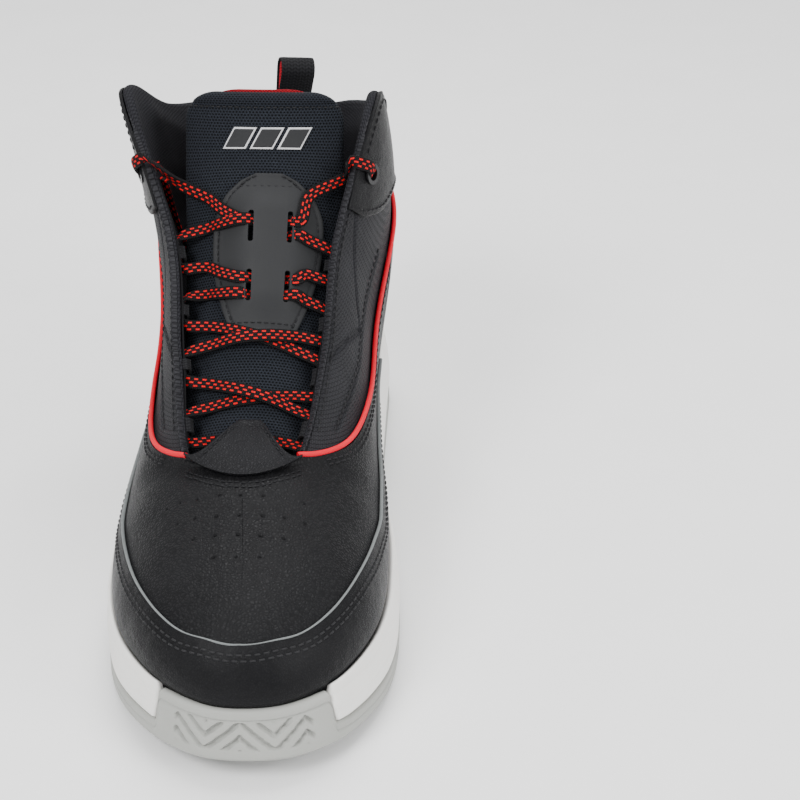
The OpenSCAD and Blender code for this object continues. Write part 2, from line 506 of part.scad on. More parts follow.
// Lace ends tucked inside, as routes through the cavity and along the insole
TAIL_LATERAL = [[-45, 50, 140], [-42, 58, 118], [-33, 60, 84], [-28, 56, 54], [-24, 46, 40], [-22, 22, 38.4],
    [-14, -6, 37], [0, -14, 36.6], [10, -6, 37], [12, 8, 37.8]];
TAIL_MEDIAL = [[33, 50, 140], [33, 58, 118], [30, 66, 84], [26, 70, 54], [20, 76, 43], [4, 84, 41.9],
    [-10, 82, 41.8], [-18, 72, 41.3], [-14, 60, 40.8], [-2, 54, 40.4]];
TAIL_RINGS = 27;
AGLET = [1.5, 22];
function tail_route(points) = [for (i = [0:TAIL_RINGS]) along(points, i / TAIL_RINGS)];
module lace_tail(points) {
    color("#101012") tube(tail_route(points), [for (i = [0:TAIL_RINGS]) [0.3, 0.2, 0.93]], lace_w - 1, lace_t);
}
module aglets() {
    color("#202020") for (points = [TAIL_LATERAL, TAIL_MEDIAL])
        let (n = len(points) - 1, d = unit(points[n] - points[n - 1]))
        scale(size_factor) translate(points[n] + d * 0.4) rotate([0, acos(d[2]), atan2(d[1], d[0])])
        cylinder(r = AGLET[0], h = AGLET[1]);
}

outsole();
midsole();
shank();
strobel_board();
insole();
vamp();
mudguard();
toe_puff();
vamp_lining();
throat_tab();
quarter_panel(lateral);  // quarter_lateral
quarter_panel(medial);  // quarter_medial
piping(lateral);  // piping_lateral
piping(medial);  // piping_medial
collar_panel(lateral);  // collar_panel_lateral
collar_panel(medial);  // collar_panel_medial
heel_panel();
heel_counter();
backstay();
collar_foam(lateral);  // collar_foam_lateral
collar_foam(medial);  // collar_foam_medial
collar_lining(lateral);  // collar_lining_lateral
collar_lining(medial);  // collar_lining_medial
eyestay(lateral);  // eyestay_lateral
eyestay(medial);  // eyestay_medial
eyelets();
tongue_cover();
tongue_foam();
tongue_lining();
tongue_plate();
tongue_badge();
heel_loop_anchor();
heel_loop();
lace_loops(lateral, LATERAL_TURNS);  // lace_loops_lateral
lace_loops(medial, MEDIAL_TURNS);  // lace_loops_medial
lace();
lace_tail(TAIL_LATERAL);  // lace_tail_lateral
lace_tail(TAIL_MEDIAL);  // lace_tail_medial
aglets();
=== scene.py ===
import bpy, bmesh, math
import numpy as np
from mathutils import Matrix, Vector


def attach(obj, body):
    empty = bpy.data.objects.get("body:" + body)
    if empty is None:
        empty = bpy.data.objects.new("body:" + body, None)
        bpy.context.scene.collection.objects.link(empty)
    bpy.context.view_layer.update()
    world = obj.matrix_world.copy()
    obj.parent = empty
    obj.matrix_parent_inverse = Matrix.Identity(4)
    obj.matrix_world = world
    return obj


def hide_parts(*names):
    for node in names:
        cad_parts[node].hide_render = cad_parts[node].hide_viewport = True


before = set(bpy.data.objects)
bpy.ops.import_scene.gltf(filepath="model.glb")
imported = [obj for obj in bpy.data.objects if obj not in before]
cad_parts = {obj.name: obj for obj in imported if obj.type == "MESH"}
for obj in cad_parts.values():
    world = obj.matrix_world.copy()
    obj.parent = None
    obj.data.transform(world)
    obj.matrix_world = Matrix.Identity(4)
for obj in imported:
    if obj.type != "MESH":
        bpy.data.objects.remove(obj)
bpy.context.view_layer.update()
MM = 0.001

# ---- camera and lights -------------------------------------------------------------------
CAMERA_TURN, CAMERA_LIFT, LENS, DISTANCE = 1.5, 29.8, 91.44, 800
SHIFT_RIGHT, SHIFT_DOWN, AIM = 51.9, 8.3, (0, -7, 80)


def make_camera():
    """A long lens from the toe's side, looking down. Places are in mm."""
    turn, lift = math.radians(CAMERA_TURN), math.radians(CAMERA_LIFT)
    look = Vector((0, math.cos(lift), -math.sin(lift)))
    up = Vector((0, math.sin(lift), math.cos(lift)))
    spin = Matrix.Rotation(turn, 4, "Z")
    place = spin @ (Vector((SHIFT_RIGHT, 0, 0)) - up * SHIFT_DOWN - look * DISTANCE) + Vector(AIM)
    axes = Matrix((Vector((1, 0, 0)), up, -look)).transposed().to_4x4()
    data = bpy.data.cameras.new("camera")
    data.lens, data.sensor_width, data.clip_start = LENS, 36, 0.05
    cam = bpy.data.objects.new("camera", data)
    bpy.context.scene.collection.objects.link(cam)
    cam.matrix_world = Matrix.Translation(place * MM) @ spin @ axes
    bpy.context.scene.camera = cam


def area(name, place, target, size, power):
    data = bpy.data.lights.new(name, "AREA")
    data.shape, data.size, data.energy = "DISK", size, power
    lamp = bpy.data.objects.new(name, data)
    bpy.context.scene.collection.objects.link(lamp)
    lamp.location = place
    lamp.rotation_euler = (Vector(target) - Vector(place)).to_track_quat("-Z", "Y").to_euler()


make_camera()
area("key", (-0.5, -0.75, 0.95), (0, -0.02, 0.07), 0.5, 13)
area("fill", (0.85, -0.6, 0.6), (0, 0, 0.06), 0.6, 8)
area("top", (0.05, 0.35, 1.1), (0, 0, 0.05), 0.7, 11)
world = bpy.data.worlds.new("studio")
bpy.context.scene.world = world
world.use_nodes = True
world.node_tree.nodes["Background"].inputs["Color"].default_value = (1, 1, 1, 1)
world.node_tree.nodes["Background"].inputs["Strength"].default_value = 1.0

# ---- the upper's shape ---------------------------------------------------------------------
# Each station round the shoe is a cubic from the sole edge to the collar, in mm. The stations are
# those of the CAD source, but a little wider at the lateral collar.
TOE = [[0, -148, 25], [0, -151, 40], [0, -138, 56], [-1, -116, 60]]
HEEL = [[0, 148, 32.5], [0, 156, 66], [0, 141, 100], [0, 146, 134]]
LATERAL = [
    [[-15, -144.5, 25], [-16, -148, 41], [-12, -134, 57], [-1, -112, 61]],
    [[-32, -131, 25], [-35, -133, 44], [-23, -122, 59], [-1.5, -105, 62.5]],
    [[-46, -107, 25], [-50, -107, 46], [-31, -102, 63.5], [-2.5, -94, 65]],
    [[-53, -76, 25], [-56, -75, 50], [-33, -80, 68.5], [-4, -79, 68.5]],
    [[-54, -50, 26], [-58, -50, 54], [-34, -60, 73.5], [-5, -65, 72]],
    [[-52.5, -28, 28], [-56, -28, 55], [-42, -42, 74], [-27, -56, 74]],
    [[-49, 8, 30], [-52, 2, 62], [-44, -6, 88], [-36, -18, 97]],
    [[-43, 42, 32], [-50, 40, 72], [-48, 28, 106], [-41.5, 18, 131]],
    [[-40, 80, 34], [-46, 78, 84], [-54, 66, 132], [-62.5, 58, 176.5]],
    [[-38, 112, 34], [-43, 112, 80], [-45, 104, 122], [-50, 94, 156]],
    [[-29, 137, 33], [-34, 141, 70], [-30, 132, 108], [-29, 134, 143]]]
MEDIAL = [
    [[17, -144.5, 25], [18, -148, 41], [12, -134, 57], [-1, -112, 61]],
    [[33, -131, 25], [36, -132, 45], [22, -122, 59], [-1.5, -105, 62.5]],
    [[44.5, -105, 25], [48.5, -105, 48], [27, -102, 63.5], [-2.5, -94, 65]],
    [[48, -76, 25], [51, -76, 52], [26, -80, 68.5], [-4, -79, 68.5]],
    [[47.5, -52, 26], [51, -52, 56], [26, -60, 73.5], [-5, -65, 72]],
    [[45.5, -32, 28], [50.5, -32, 56], [30, -42, 75], [15, -55, 74.5]],
    [[41, 0, 30], [46, -2, 62], [39, -8, 88], [23.5, -18, 97]],
    [[38, 38, 32], [45, 38, 74], [43, 26, 108], [27.5, 18, 131]],
    [[38, 80, 34], [47, 80, 84], [53, 66, 130], [42, 58, 176]],
    [[38, 112, 34], [45, 112, 80], [44, 104, 122], [43, 94, 158]],
    [[29, 137, 33], [34, 141, 70], [30, 132, 108], [28, 134, 143]]]
RING = np.array([TOE] + LATERAL + [HEEL] + MEDIAL[::-1], float)
N = len(RING)
MUD_EDGE = [[0, 0.555], [0.9, 0.54], [1.55, 0.495], [2.25, 0.465], [3.1, 0.42], [4.1, 0.32],
    [5.1, 0.25], [6.2, 0.27], [7.3, 0.25], [8.58, 0.13]]
PIPE_EDGE = [[5.95, 0.99], [5.85, 0.84], [6, 0.7], [6.35, 0.58], [7, 0.47], [7.6, 0.42],
    [8.3, 0.46], [9.2, 0.55], [10.2, 0.67], [11.3, 0.78]]
COLLAR_EDGE = [[8.2, 0.97], [8.32, 0.83], [8.65, 0.7], [9.3, 0.66], [10.2, 0.76], [11.3, 0.86]]
LAT, MED = 1, -1


def slopes(a, b, c):
    first, last = b - a, c - b
    small = np.minimum(np.abs(c - a) / 2, 3 * np.minimum(np.abs(first), np.abs(last)))
    return np.where(first * last <= 0, 0, np.sign(last) * small)


def hermite(b, c, mb, mc, t):
    return (b * (2 * t**3 - 3 * t * t + 1) + mb * (t**3 - 2 * t * t + t) + c * (3 * t * t - 2 * t**3)
            + mc * (t**3 - t * t))


RING_SLOPE = slopes(np.roll(RING, 1, 0), RING, np.roll(RING, -1, 0))


def spline(points, s):
    p = np.asarray(points, float)
    flat = p.ndim == 1
    p = p.reshape(len(p), -1)
    m = slopes(p[:-2], p[1:-1], p[2:])
    m = np.vstack([p[1:2] - p[:1], m, p[-1:] - p[-2:-1]])
    s = np.asarray(s, float)
    i = np.clip(np.floor(s).astype(int), 0, len(p) - 2)
    out = hermite(p[i], p[i + 1], m[i], m[i + 1], (s - i)[..., None])
    return out[..., 0] if flat else out


def along(points, share):
    return spline(points, np.asarray(share, float) * (len(points) - 1))


def hide(u, v):
    u, v = np.broadcast_arrays(np.asarray(u, float), np.asarray(v, float))
    i = np.floor(u).astype(int)
    t = (u - i)[..., None, None]
    p = hermite(RING[i % N], RING[(i + 1) % N], RING_SLOPE[i % N], RING_SLOPE[(i + 1) % N], t)
    w, v = (1 - v)[..., None], v[..., None]
    return (p[..., 0, :] * w**3 + p[..., 1, :] * 3 * w * w * v + p[..., 2, :] * 3 * w * v * v
            + p[..., 3, :] * v**3)


def unit(x):
    return x / np.maximum(np.linalg.norm(x, axis=-1, keepdims=True), 1e-12)


def steps(p, axis=0):
    """Distances between neighbouring points along an axis of a list or grid."""
    return np.linalg.norm(np.diff(p, axis=axis), axis=-1)


def travelled(p, axis=0):
    """Distance covered since the first point along an axis of a list or grid."""
    return np.insert(np.cumsum(steps(p, axis), axis), 0, 0.0, axis)


def smooth(lo, hi, x):
    t = np.clip((x - lo) / (hi - lo), 0, 1)
    return t * t * (3 - 2 * t)


def bell(x, at, width):
    return np.exp(-((x - at) / width) ** 2)


def raw_normal(u, v, e=0.01):
    w = np.clip(v, e, 0.98)
    return unit(np.cross(hide(u, w + e) - hide(u, w - e), hide(u + e, w) - hide(u - e, w)))


def normal(u, v):
    u, v = np.broadcast_arrays(np.asarray(u, float), np.asarray(v, float))
    a = np.abs(u)
    k = np.clip(a - 5, 0, 1)[..., None]
    side = np.where(u < 0, -1.0, 1.0)
    calm = unit(raw_normal(side * 4.98, v) * (1 - k) + raw_normal(side * 6.02, v) * k)
    w = (smooth(0.62, 0.8, v) * ((a > 5) & (a < 6)))[..., None]
    return unit(raw_normal(u, v) * (1 - w) + calm * w)


def upper(u, v, d):
    u, v, d = np.broadcast_arrays(np.asarray(u, float), np.asarray(v, float), np.asarray(d, float))
    ridge = ((v > 0.999) & (np.abs(u) <= 5))[..., None]
    n = np.where(ridge, unit(normal(np.abs(u), v) + normal(-np.abs(u), v)), normal(u, v))
    return np.where(ridge, hide(np.abs(u), v), hide(u, v)) + n * d[..., None]


# ---- meshes -----------------------------------------------------------------------------
def make(name, verts, faces, mat, body="shoe", uv=None, sharp=45, replaces=(), slot=None, weld=False):
    """verts in mm, faces as index tuples, uv per vertex in mm."""
    me = bpy.data.meshes.new(name)
    me.from_pydata((np.asarray(verts, float) * MM).tolist(), [], [tuple(f) for f in faces])
    if uv is not None:
        layer = me.uv_layers.new(name="mm")
        loops = np.empty(len(me.loops), int)
        me.loops.foreach_get("vertex_index", loops)
        layer.data.foreach_set("uv", np.asarray(uv, float)[loops].astype(np.float32).ravel())
    me.materials.append(mat)
    bm = bmesh.new()
    bm.from_mesh(me)
    if weld:
        bmesh.ops.remove_doubles(bm, verts=bm.verts, dist=2e-6)
    bmesh.ops.recalc_face_normals(bm, faces=bm.faces)
    bm.to_mesh(me)
    bm.free()
    me.polygons.foreach_set("use_smooth", [True] * len(me.polygons))
    me.set_sharp_from_angle(angle=math.radians(sharp))
    ob = bpy.data.objects.new(name, me)
    bpy.context.scene.collection.objects.link(ob)
    if body:
        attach(ob, body)
    if replaces:
        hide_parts(*replaces)
    return ob


def solid(front, back, uv=None, keep=None, wrap=False):
    """Closed solid between two grids; keep says which cells exist."""
    nu, nv = front.shape[:2]
    cu = nu if wrap else nu - 1
    keep = np.ones((cu, nv - 1), bool) if keep is None else keep
    ids = np.arange(nu * nv).reshape(nu, nv)
    if wrap:
        ids = np.vstack([ids, ids[:1]])
    a, b, c, d = ids[:-1, :-1], ids[1:, :-1], ids[1:, 1:], ids[:-1, 1:]
    off = nu * nv
    top = np.stack([a, b, c, d], -1)[keep]
    faces = [top, top[:, ::-1] + off]
    pad = np.zeros((cu + 2, nv + 1), bool)
    pad[1:-1, 1:-1] = keep
    if wrap:
        pad[0, 1:-1], pad[-1, 1:-1] = keep[-1], keep[0]
    for edge, (di, dj) in (((a, b), (0, -1)), ((b, c), (1, 0)), ((c, d), (0, 1)), ((d, a), (-1, 0))):
        open_ = keep & ~pad[1 + di:cu + 1 + di, 1 + dj:nv + dj]
        p, q = edge[0][open_], edge[1][open_]
        faces.append(np.stack([q, p, p + off, q + off], -1))
    verts = np.vstack([front.reshape(-1, 3), back.reshape(-1, 3)])
    uvs = None if uv is None else np.vstack([uv.reshape(-1, 2)] * 2)
    return verts, np.vstack(faces), uvs


def spaced(length, n, fine=(0.15, 0.4, 0.8, 1.3, 2, 2.8, 3.6)):
    """Shares from 0 to 1, closer together near both ends of a length in mm."""
    ends = [x / length for x in fine if x < length * 0.3]
    inner = np.linspace(ends[-1], 1 - ends[-1], n)
    return np.concatenate([[0], ends[:-1], inner, [1 - x for x in ends[:-1][::-1]], [1]])


def rounded(e, r):
    k = np.clip(1 - e / r, 0, 1)
    return r * (1 - np.sqrt(1 - k * k))


def near(grid, line, reach):
    """Distance in mm from each grid point to a dense line of points, up to reach."""
    flat = grid.reshape(-1, 3)
    out = np.full(len(flat), reach)
    for k in range(0, len(line), 60):
        part = line[k:k + 60]
        box = ((flat > part.min(0) - reach) & (flat < part.max(0) + reach)).all(1)
        if box.any():
            d = np.sqrt(((flat[box][:, None] - part[None]) ** 2).sum(-1)).min(1)
            out[box] = np.minimum(out[box], d)
    return out.reshape(grid.shape[:-1])


def panel(name, low, high, mat, depth, nu=120, nv=40, r=0.6, body="shoe", fold=None, grooves=(),
          open_low=False, relief=None, inner=None, **kw):
    """A leather or fabric panel of the upper between two seams. depth is (inner, outer) in mm."""
    probe = np.linspace(0, 1, 60)
    lo, hi = low(probe), high(probe)
    mid = hide((lo[0] + hi[0]) / 2, (lo[1] + hi[1]) / 2)
    length = steps(mid).sum()
    across = np.linalg.norm(hide(*lo) - hide(*hi), axis=1).max() * 1.08
    t = spaced(length, nu)
    if fold is not None:
        t = np.sort(np.concatenate([t[t < 0.5], [0.5], 1 - t[t < 0.5]]))
    s = spaced(max(across, 4), nv) if across > 12 else np.linspace(0, 1, nv)
    lo, hi = low(t), high(t)
    u = lo[0][:, None] * (1 - s) + hi[0][:, None] * s
    v = lo[1][:, None] * (1 - s) + hi[1][:, None] * s
    v[:, -1] = np.where(hi[1] > 0.9985, 1.0, v[:, -1])
    p = hide(u, v)
    el = travelled(p, 1)
    eh = el[:, -1:] - el
    along_u = travelled(p)
    ee = np.minimum(along_u, along_u[-1:] - along_u)
    if fold is not None:
        eh = np.where(fold(hi[0])[:, None], 99.0, eh)
    e = np.full(u.shape, 99.0)
    if not open_low:
        e = np.minimum(e, el)
    e = np.minimum(np.minimum(e, eh), ee)
    d = depth[1] - rounded(e, r)
    for line, width, deep in grooves:
        d = d - deep * np.exp(-(near(p, line, width * 4) / width) ** 2)
    if relief is not None:
        d = d + relief(u, v, el, eh)
    back = depth[0] if inner is None else inner(u, v)
    mean_u = np.insert(np.cumsum(steps(p).mean(1)), 0, 0.0)
    uv = np.stack([np.broadcast_to(mean_u[:, None], u.shape), el], -1)
    verts, faces, uvs = solid(upper(u, v, d), upper(u, v, np.broadcast_to(back, u.shape)), uv)
    return make(name, verts, faces, mat, body, uvs, weld=fold is not None, **kw)


def sweep(name, path, ups, profile, mat, body="shoe", scale=None, **kw):
    """A profile, which is a closed loop of (across, up) points in mm, carried along an open path."""
    path, ups = np.asarray(path, float), np.asarray(ups, float)
    tan = unit(np.gradient(path, axis=0))
    side = unit(np.cross(tan, ups))
    top = np.cross(side, tan)
    prof = np.asarray(profile, float)
    k = np.ones(len(path)) if scale is None else np.asarray(scale)
    ring = side[:, None] * prof[None, :, :1] + top[:, None] * prof[None, :, 1:]
    ring = path[:, None] + ring * k[:, None, None]
    n, m = len(path), len(prof)
    run = travelled(path)
    faces = []
    for a in range(0, (n - 1) * m, m):
        faces += [(a + j, a + (j + 1) % m, a + m + (j + 1) % m, a + m + j) for j in range(m)]
    faces += [tuple(range(m))[::-1], tuple(range((n - 1) * m, n * m))]
    uv = np.stack(np.broadcast_arrays(prof[None, :, 0], run[:, None]), -1).reshape(-1, 2)
    return make(name, ring.reshape(-1, 3), faces, mat, body, uv, **kw)


def oval(w, h, n=16, p=2.4):
    a = np.arange(n) * 2 * math.pi / n
    c, s = np.cos(a), np.sin(a)
    return np.stack([np.sign(x) * np.abs(x) ** (2 / p) * d / 2 for x, d in ((c, w), (s, h))], -1)


def resample(points, step, extra=None):
    """Points a fixed distance apart along a polyline, with other per-point values carried along."""
    points = np.asarray(points, float)
    run = travelled(points)
    n = max(2, int(round(run[-1] / step)) + 1)
    at = np.linspace(0, run[-1], n)
    out = np.stack([np.interp(at, run, points[:, k]) for k in range(3)], -1)
    if extra is None:
        return out
    return out, unit(np.stack([np.interp(at, run, extra[:, k]) for k in range(3)], -1))


def thread(name, lines, mat, body="shoe", pitch=3.2, length=2.3, r=0.34):
    """Stitches along lines, each a pair (points, normals). Each is a short thread with its ends sunk in."""
    verts, faces = [], []
    m = 6
    arc = np.array([[-0.5, -0.9], [-0.42, 0.1], [-0.15, 0.75], [0.15, 0.75], [0.42, 0.1], [0.5, -0.9]])
    for pts, nrm in lines:
        pts, nrm = resample(pts, pitch, np.asarray(nrm, float))
        tan = unit(np.gradient(pts, axis=0))
        side = unit(np.cross(tan, nrm))
        for p, n_, t_, b_ in zip(pts, nrm, tan, side):
            base = len(verts)
            for x, h in arc:
                c = p + t_ * x * length + n_ * h * r
                for k in range(m):
                    w = 2 * math.pi * k / m
                    verts.append(c + b_ * math.cos(w) * r + n_ * math.sin(w) * r * 0.8)
            for i in range(len(arc) - 1):
                a, b = base + i * m, base + (i + 1) * m
                faces += [(a + k, a + (k + 1) % m, b + (k + 1) % m, b + k) for k in range(m)]
            last = base + (len(arc) - 1) * m
            faces += [tuple(range(base, base + m))[::-1], tuple(range(last, last + m))]
    return make(name, verts, faces, mat, body, sharp=80)


def join(parts):
    """One (verts, faces) from several."""
    verts, faces = [], []
    for v, f in parts:
        faces += [tuple(int(i) + len(verts) for i in face) for face in f]
        verts += [list(p) for p in v]
    return verts, faces


def cut(ob, cutters, sharp=40):
    """Subtract closed cutter meshes, each (verts in mm, faces), from a piece."""
    verts, faces = join(cutters)
    me = bpy.data.meshes.new("cutter")
    me.from_pydata((np.array(verts) * MM).tolist(), [], faces)
    tool = bpy.data.objects.new("cutter", me)
    bpy.context.scene.collection.objects.link(tool)
    mod = ob.modifiers.new("cut", "BOOLEAN")
    mod.operation, mod.solver, mod.object = "DIFFERENCE", "EXACT", tool
    graph = bpy.context.evaluated_depsgraph_get()
    new = bpy.data.meshes.new_from_object(ob.evaluated_get(graph))
    ob.modifiers.clear()
    ob.data = new
    bpy.data.objects.remove(tool)
    new.polygons.foreach_set("use_smooth", [True] * len(new.polygons))
    new.set_sharp_from_angle(angle=math.radians(sharp))


def frame_of(n):
    n = unit(np.asarray(n, float))
    a = unit(np.cross(n, [0.3, 0.9, 0.31] if abs(n[2]) < 0.8 else [1, 0, 0]))
    return a, np.cross(n, a), n


def drill(place, n, r, above, below, sides=16, taper=1.0):
    """A round cutter along n: radius r at the top, r * taper at the bottom."""
    a, b, n = frame_of(n)
    w = np.arange(sides) * 2 * math.pi / sides
    ring = np.cos(w)[:, None] * a + np.sin(w)[:, None] * b
    place = np.asarray(place, float)
    verts = np.vstack([place + ring * r * taper - n * below, place + ring * r + n * above])
    faces = [(k, (k + 1) % sides, sides + (k + 1) % sides, sides + k) for k in range(sides)]
    return verts.tolist(), faces + [tuple(range(sides))[::-1], tuple(range(sides, 2 * sides))]


def block(place, a, b, n, w, h, above, below, corner=1.6):
    """A cutter with a rounded outline, w along a and h along b."""
    pts = []
    for cx, cy, start in ((1, 1, 0), (-1, 1, 90), (-1, -1, 180), (1, -1, 270)):
        for k in range(5):
            q = math.radians(start + 22.5 * k)
            pts.append((cx * (w / 2 - corner) + corner * math.cos(q),
                        cy * (h / 2 - corner) + corner * math.sin(q)))
    m = len(pts)
    ring = np.array([a * x + b * y for x, y in pts])
    verts = np.vstack([place + ring - n * below, place + ring + n * above])
    faces = [(k, (k + 1) % m, m + (k + 1) % m, m + k) for k in range(m)]
    return verts.tolist(), faces + [tuple(range(m))[::-1], tuple(range(m, 2 * m))]


# ---- materials ----------------------------------------------------------------------------
class Look:
    """A procedural material. Lengths are in millimetres."""
    def __init__(self, name, rough=0.5, spec=0.5, sheen=0.0, coat=0.0, metal=0.0, uv=False,
                 sheen_tint=(1, 1, 1)):
        self.mat = bpy.data.materials.new(name)
        self.mat.use_nodes = True
        self.nodes, self.links = self.mat.node_tree.nodes, self.mat.node_tree.links
        self.out = self.nodes["Principled BSDF"]
        for key, value in (("Roughness", rough), ("Specular IOR Level", spec), ("Sheen Weight", sheen),
                           ("Coat Weight", coat), ("Metallic", metal)):
            self.out.inputs[key].default_value = value
        self.out.inputs["Sheen Tint"].default_value = (*sheen_tint, 1)
        self.out.inputs["Sheen Roughness"].default_value = 0.5
        src = self.nodes.new("ShaderNodeTexCoord")
        scale = self.nodes.new("ShaderNodeMapping")
        scale.inputs["Scale"].default_value = (1, 1, 1) if uv else (1000, 1000, 1000)
        self.links.new(src.outputs["UV" if uv else "Object"], scale.inputs["Vector"])
        self.mm = scale.outputs["Vector"]
        solid_src = self.nodes.new("ShaderNodeMapping")
        solid_src.inputs["Scale"].default_value = (1000, 1000, 1000)
        self.links.new(src.outputs["Object"], solid_src.inputs["Vector"])
        self.solid = solid_src.outputs["Vector"]

    def node(self, kind, inputs=(), **settings):
        n = self.nodes.new("ShaderNode" + kind)
        for k, v in settings.items():
            setattr(n, k, v)
        for k, v in dict(inputs).items():
            if hasattr(v, "links") or isinstance(v, bpy.types.NodeSocket):
                self.links.new(v, n.inputs[k])
            else:
                n.inputs[k].default_value = v
        return n

    def noise(self, size, detail=3.0, rough=0.5):
        return self.node("TexNoise", {"Vector": self.solid, "Scale": 1 / size, "Detail": detail,
                                      "Roughness": rough}).outputs["Fac"]

    def cells(self, size):
        return self.node("TexVoronoi", {"Vector": self.solid, "Scale": 1 / size, "Randomness": 1.0},
                         feature="DISTANCE_TO_EDGE").outputs["Distance"]

    def math(self, op, a, b=0.0, c=0.0):
        return self.node("Math", {0: a, 1: b, 2: c}, operation=op).outputs[0]

    def fit(self, x, lo, hi, a=0.0, b=1.0, soft=False):
        return self.node("MapRange", {"Value": x, "From Min": lo, "From Max": hi, "To Min": a, "To Max": b},
                         interpolation_type="SMOOTHSTEP" if soft else "LINEAR").outputs["Result"]

    def blend(self, fac, a, b):
        n = self.node("Mix", data_type="RGBA")
        for key, v in ((0, fac), (6, a), (7, b)):
            if isinstance(v, bpy.types.NodeSocket):
                self.links.new(v, n.inputs[key])
            else:
                n.inputs[key].default_value = v if key == 0 else (*v, 1)
        return n.outputs[2]

    def colour(self, socket):
        self.links.new(socket, self.out.inputs["Base Color"])
        return self

    def rough(self, socket):
        self.links.new(socket, self.out.inputs["Roughness"])
        return self

    def bump(self, height, deep, strength=1.0):
        """height is 0 to 1, deep is its depth in mm."""
        old = self.out.inputs["Normal"].links
        n = self.node("Bump", {"Height": height, "Strength": strength, "Distance": deep * MM})
        if old:
            self.links.new(old[0].from_socket, n.inputs["Normal"])
        self.links.new(n.outputs["Normal"], self.out.inputs["Normal"])
        return self

    def axes(self):
        n = self.node("SeparateXYZ", {"Vector": self.mm})
        return n.outputs[0], n.outputs[1]


for word, op in (("mad", "MULTIPLY_ADD"), ("mul", "MULTIPLY"), ("add", "ADD"), ("sub", "SUBTRACT"),
                 ("div", "DIVIDE"), ("abs", "ABSOLUTE"), ("fract", "FRACT"), ("floor", "FLOOR"),
                 ("sine", "SINE"), ("less", "LESS_THAN")):
    setattr(Look, word, lambda self, *values, op=op: self.math(op, *values))


def leather(name, dark, light, grain, rough, deep=0.16, wrinkle=0.0):
    m = Look(name, rough, 0.1)
    cell = m.cells(grain)
    pebble = m.fit(cell, 0.0, 0.35, soft=True)
    fine = m.noise(grain * 0.35, 4)
    cloud = m.noise(22, 4)
    # Lighter on the pebble tops and darker in the creases between them: a painted highlight and painted shade on
    # the grain; the cloud is random colour variation.
    tone_and_painted_shade = m.mad(pebble, 0.55, m.mul(cloud, 0.55))
    m.colour(m.blend(tone_and_painted_shade, dark, light))
    m.rough(m.mad(cloud, 0.24, m.mad(pebble, -0.12, rough - 0.04)))
    m.bump(m.noise(9, 5, 0.6), 0.5 + wrinkle)
    m.bump(pebble, deep)
    m.bump(fine, 0.05)
    return m.mat


def weave(name, dark, light, pitch, rough=0.75, deep=0.25, sheen=0.1, tint=(1, 1, 1), basket=2):
    """Basket weave: bundles of threads over and under in turn."""
    m = Look(name, rough, 0.08, sheen=sheen * 0.05, uv=True, sheen_tint=tint)
    x, y = m.axes()
    xs, ys = m.div(x, pitch), m.div(y, pitch)
    over = m.math("MODULO", m.add(m.floor(xs), m.floor(ys)), 2)
    over = m.abs(over)
    def ridge(a, along_):
        hump = m.sine(m.mul(m.fract(a), math.pi))
        strand = m.abs(m.sine(m.mul(along_, math.pi * basket)))
        return m.mul(m.math("POWER", m.abs(hump), 0.6), m.mad(strand, 0.35, 0.65))
    a, b = ridge(xs, ys), ridge(ys, xs)
    height = m.add(m.mul(a, over), m.mul(b, m.sub(1.0, over)))
    # Lighter on the thread crests and darker between them, following the height: a painted highlight and painted
    # shade; the noise is random colour variation.
    tone_and_painted_shade = m.mad(height, 0.7, m.mad(m.noise(14, 3), 0.4, -0.1))
    m.colour(m.blend(tone_and_painted_shade, dark, light))
    m.rough(m.fit(height, 0, 1, rough + 0.1, rough - 0.12))
    m.bump(height, deep)
    m.bump(m.noise(0.4, 2), 0.05)
    return m.mat


def mesh_cloth(name, dark, light, pitch, rough=0.85, deep=0.5, tint=(1, 1, 1), flecks=0.0):
    """Spacer mesh: rows of small round holes between knitted yarns."""
    m = Look(name, rough, 0.1, sheen=0.015, uv=True, sheen_tint=tint)
    x, y = m.axes()
    row = m.floor(m.div(y, pitch * 0.87))
    shift = m.mul(m.math("MODULO", row, 2), 0.5)
    fx = m.sub(m.fract(m.add(m.div(x, pitch), shift)), 0.5)
    fy = m.sub(m.fract(m.div(y, pitch * 0.87)), 0.5)
    far = m.math("SQRT", m.add(m.mul(fx, fx), m.mul(fy, fy)))
    yarn = m.fit(far, 0.2, 0.42, soft=True)
    knit = m.noise(0.35, 2)
    # Dark in the holes and on the yarn edges that run into them: painted shade; the knit noise and the flecks
    # are the yarn's own colour.
    tone_and_painted_shade = m.mul(yarn, m.mad(knit, 0.9, 0.25))
    if flecks:
        spot = m.fit(m.noise(0.55, 1), 0.62, 0.72)
        tone_and_painted_shade = m.add(tone_and_painted_shade, m.mul(m.mul(spot, yarn), flecks))
    m.colour(m.blend(tone_and_painted_shade, dark, light))
    m.bump(yarn, deep)
    m.bump(knit, 0.12)
    return m.mat


def rubber(name, dark, light, rough, grain=0.5, deep=0.04, cloud=18):
    m = Look(name, rough, 0.2)
    big, fine = m.noise(cloud, 4), m.noise(grain, 3)
    m.colour(m.blend(m.mad(big, 0.75, m.mul(fine, 0.25)), dark, light))
    m.rough(m.fit(big, 0.3, 0.7, rough - 0.06, rough + 0.08))
    m.bump(fine, deep)
    return m.mat


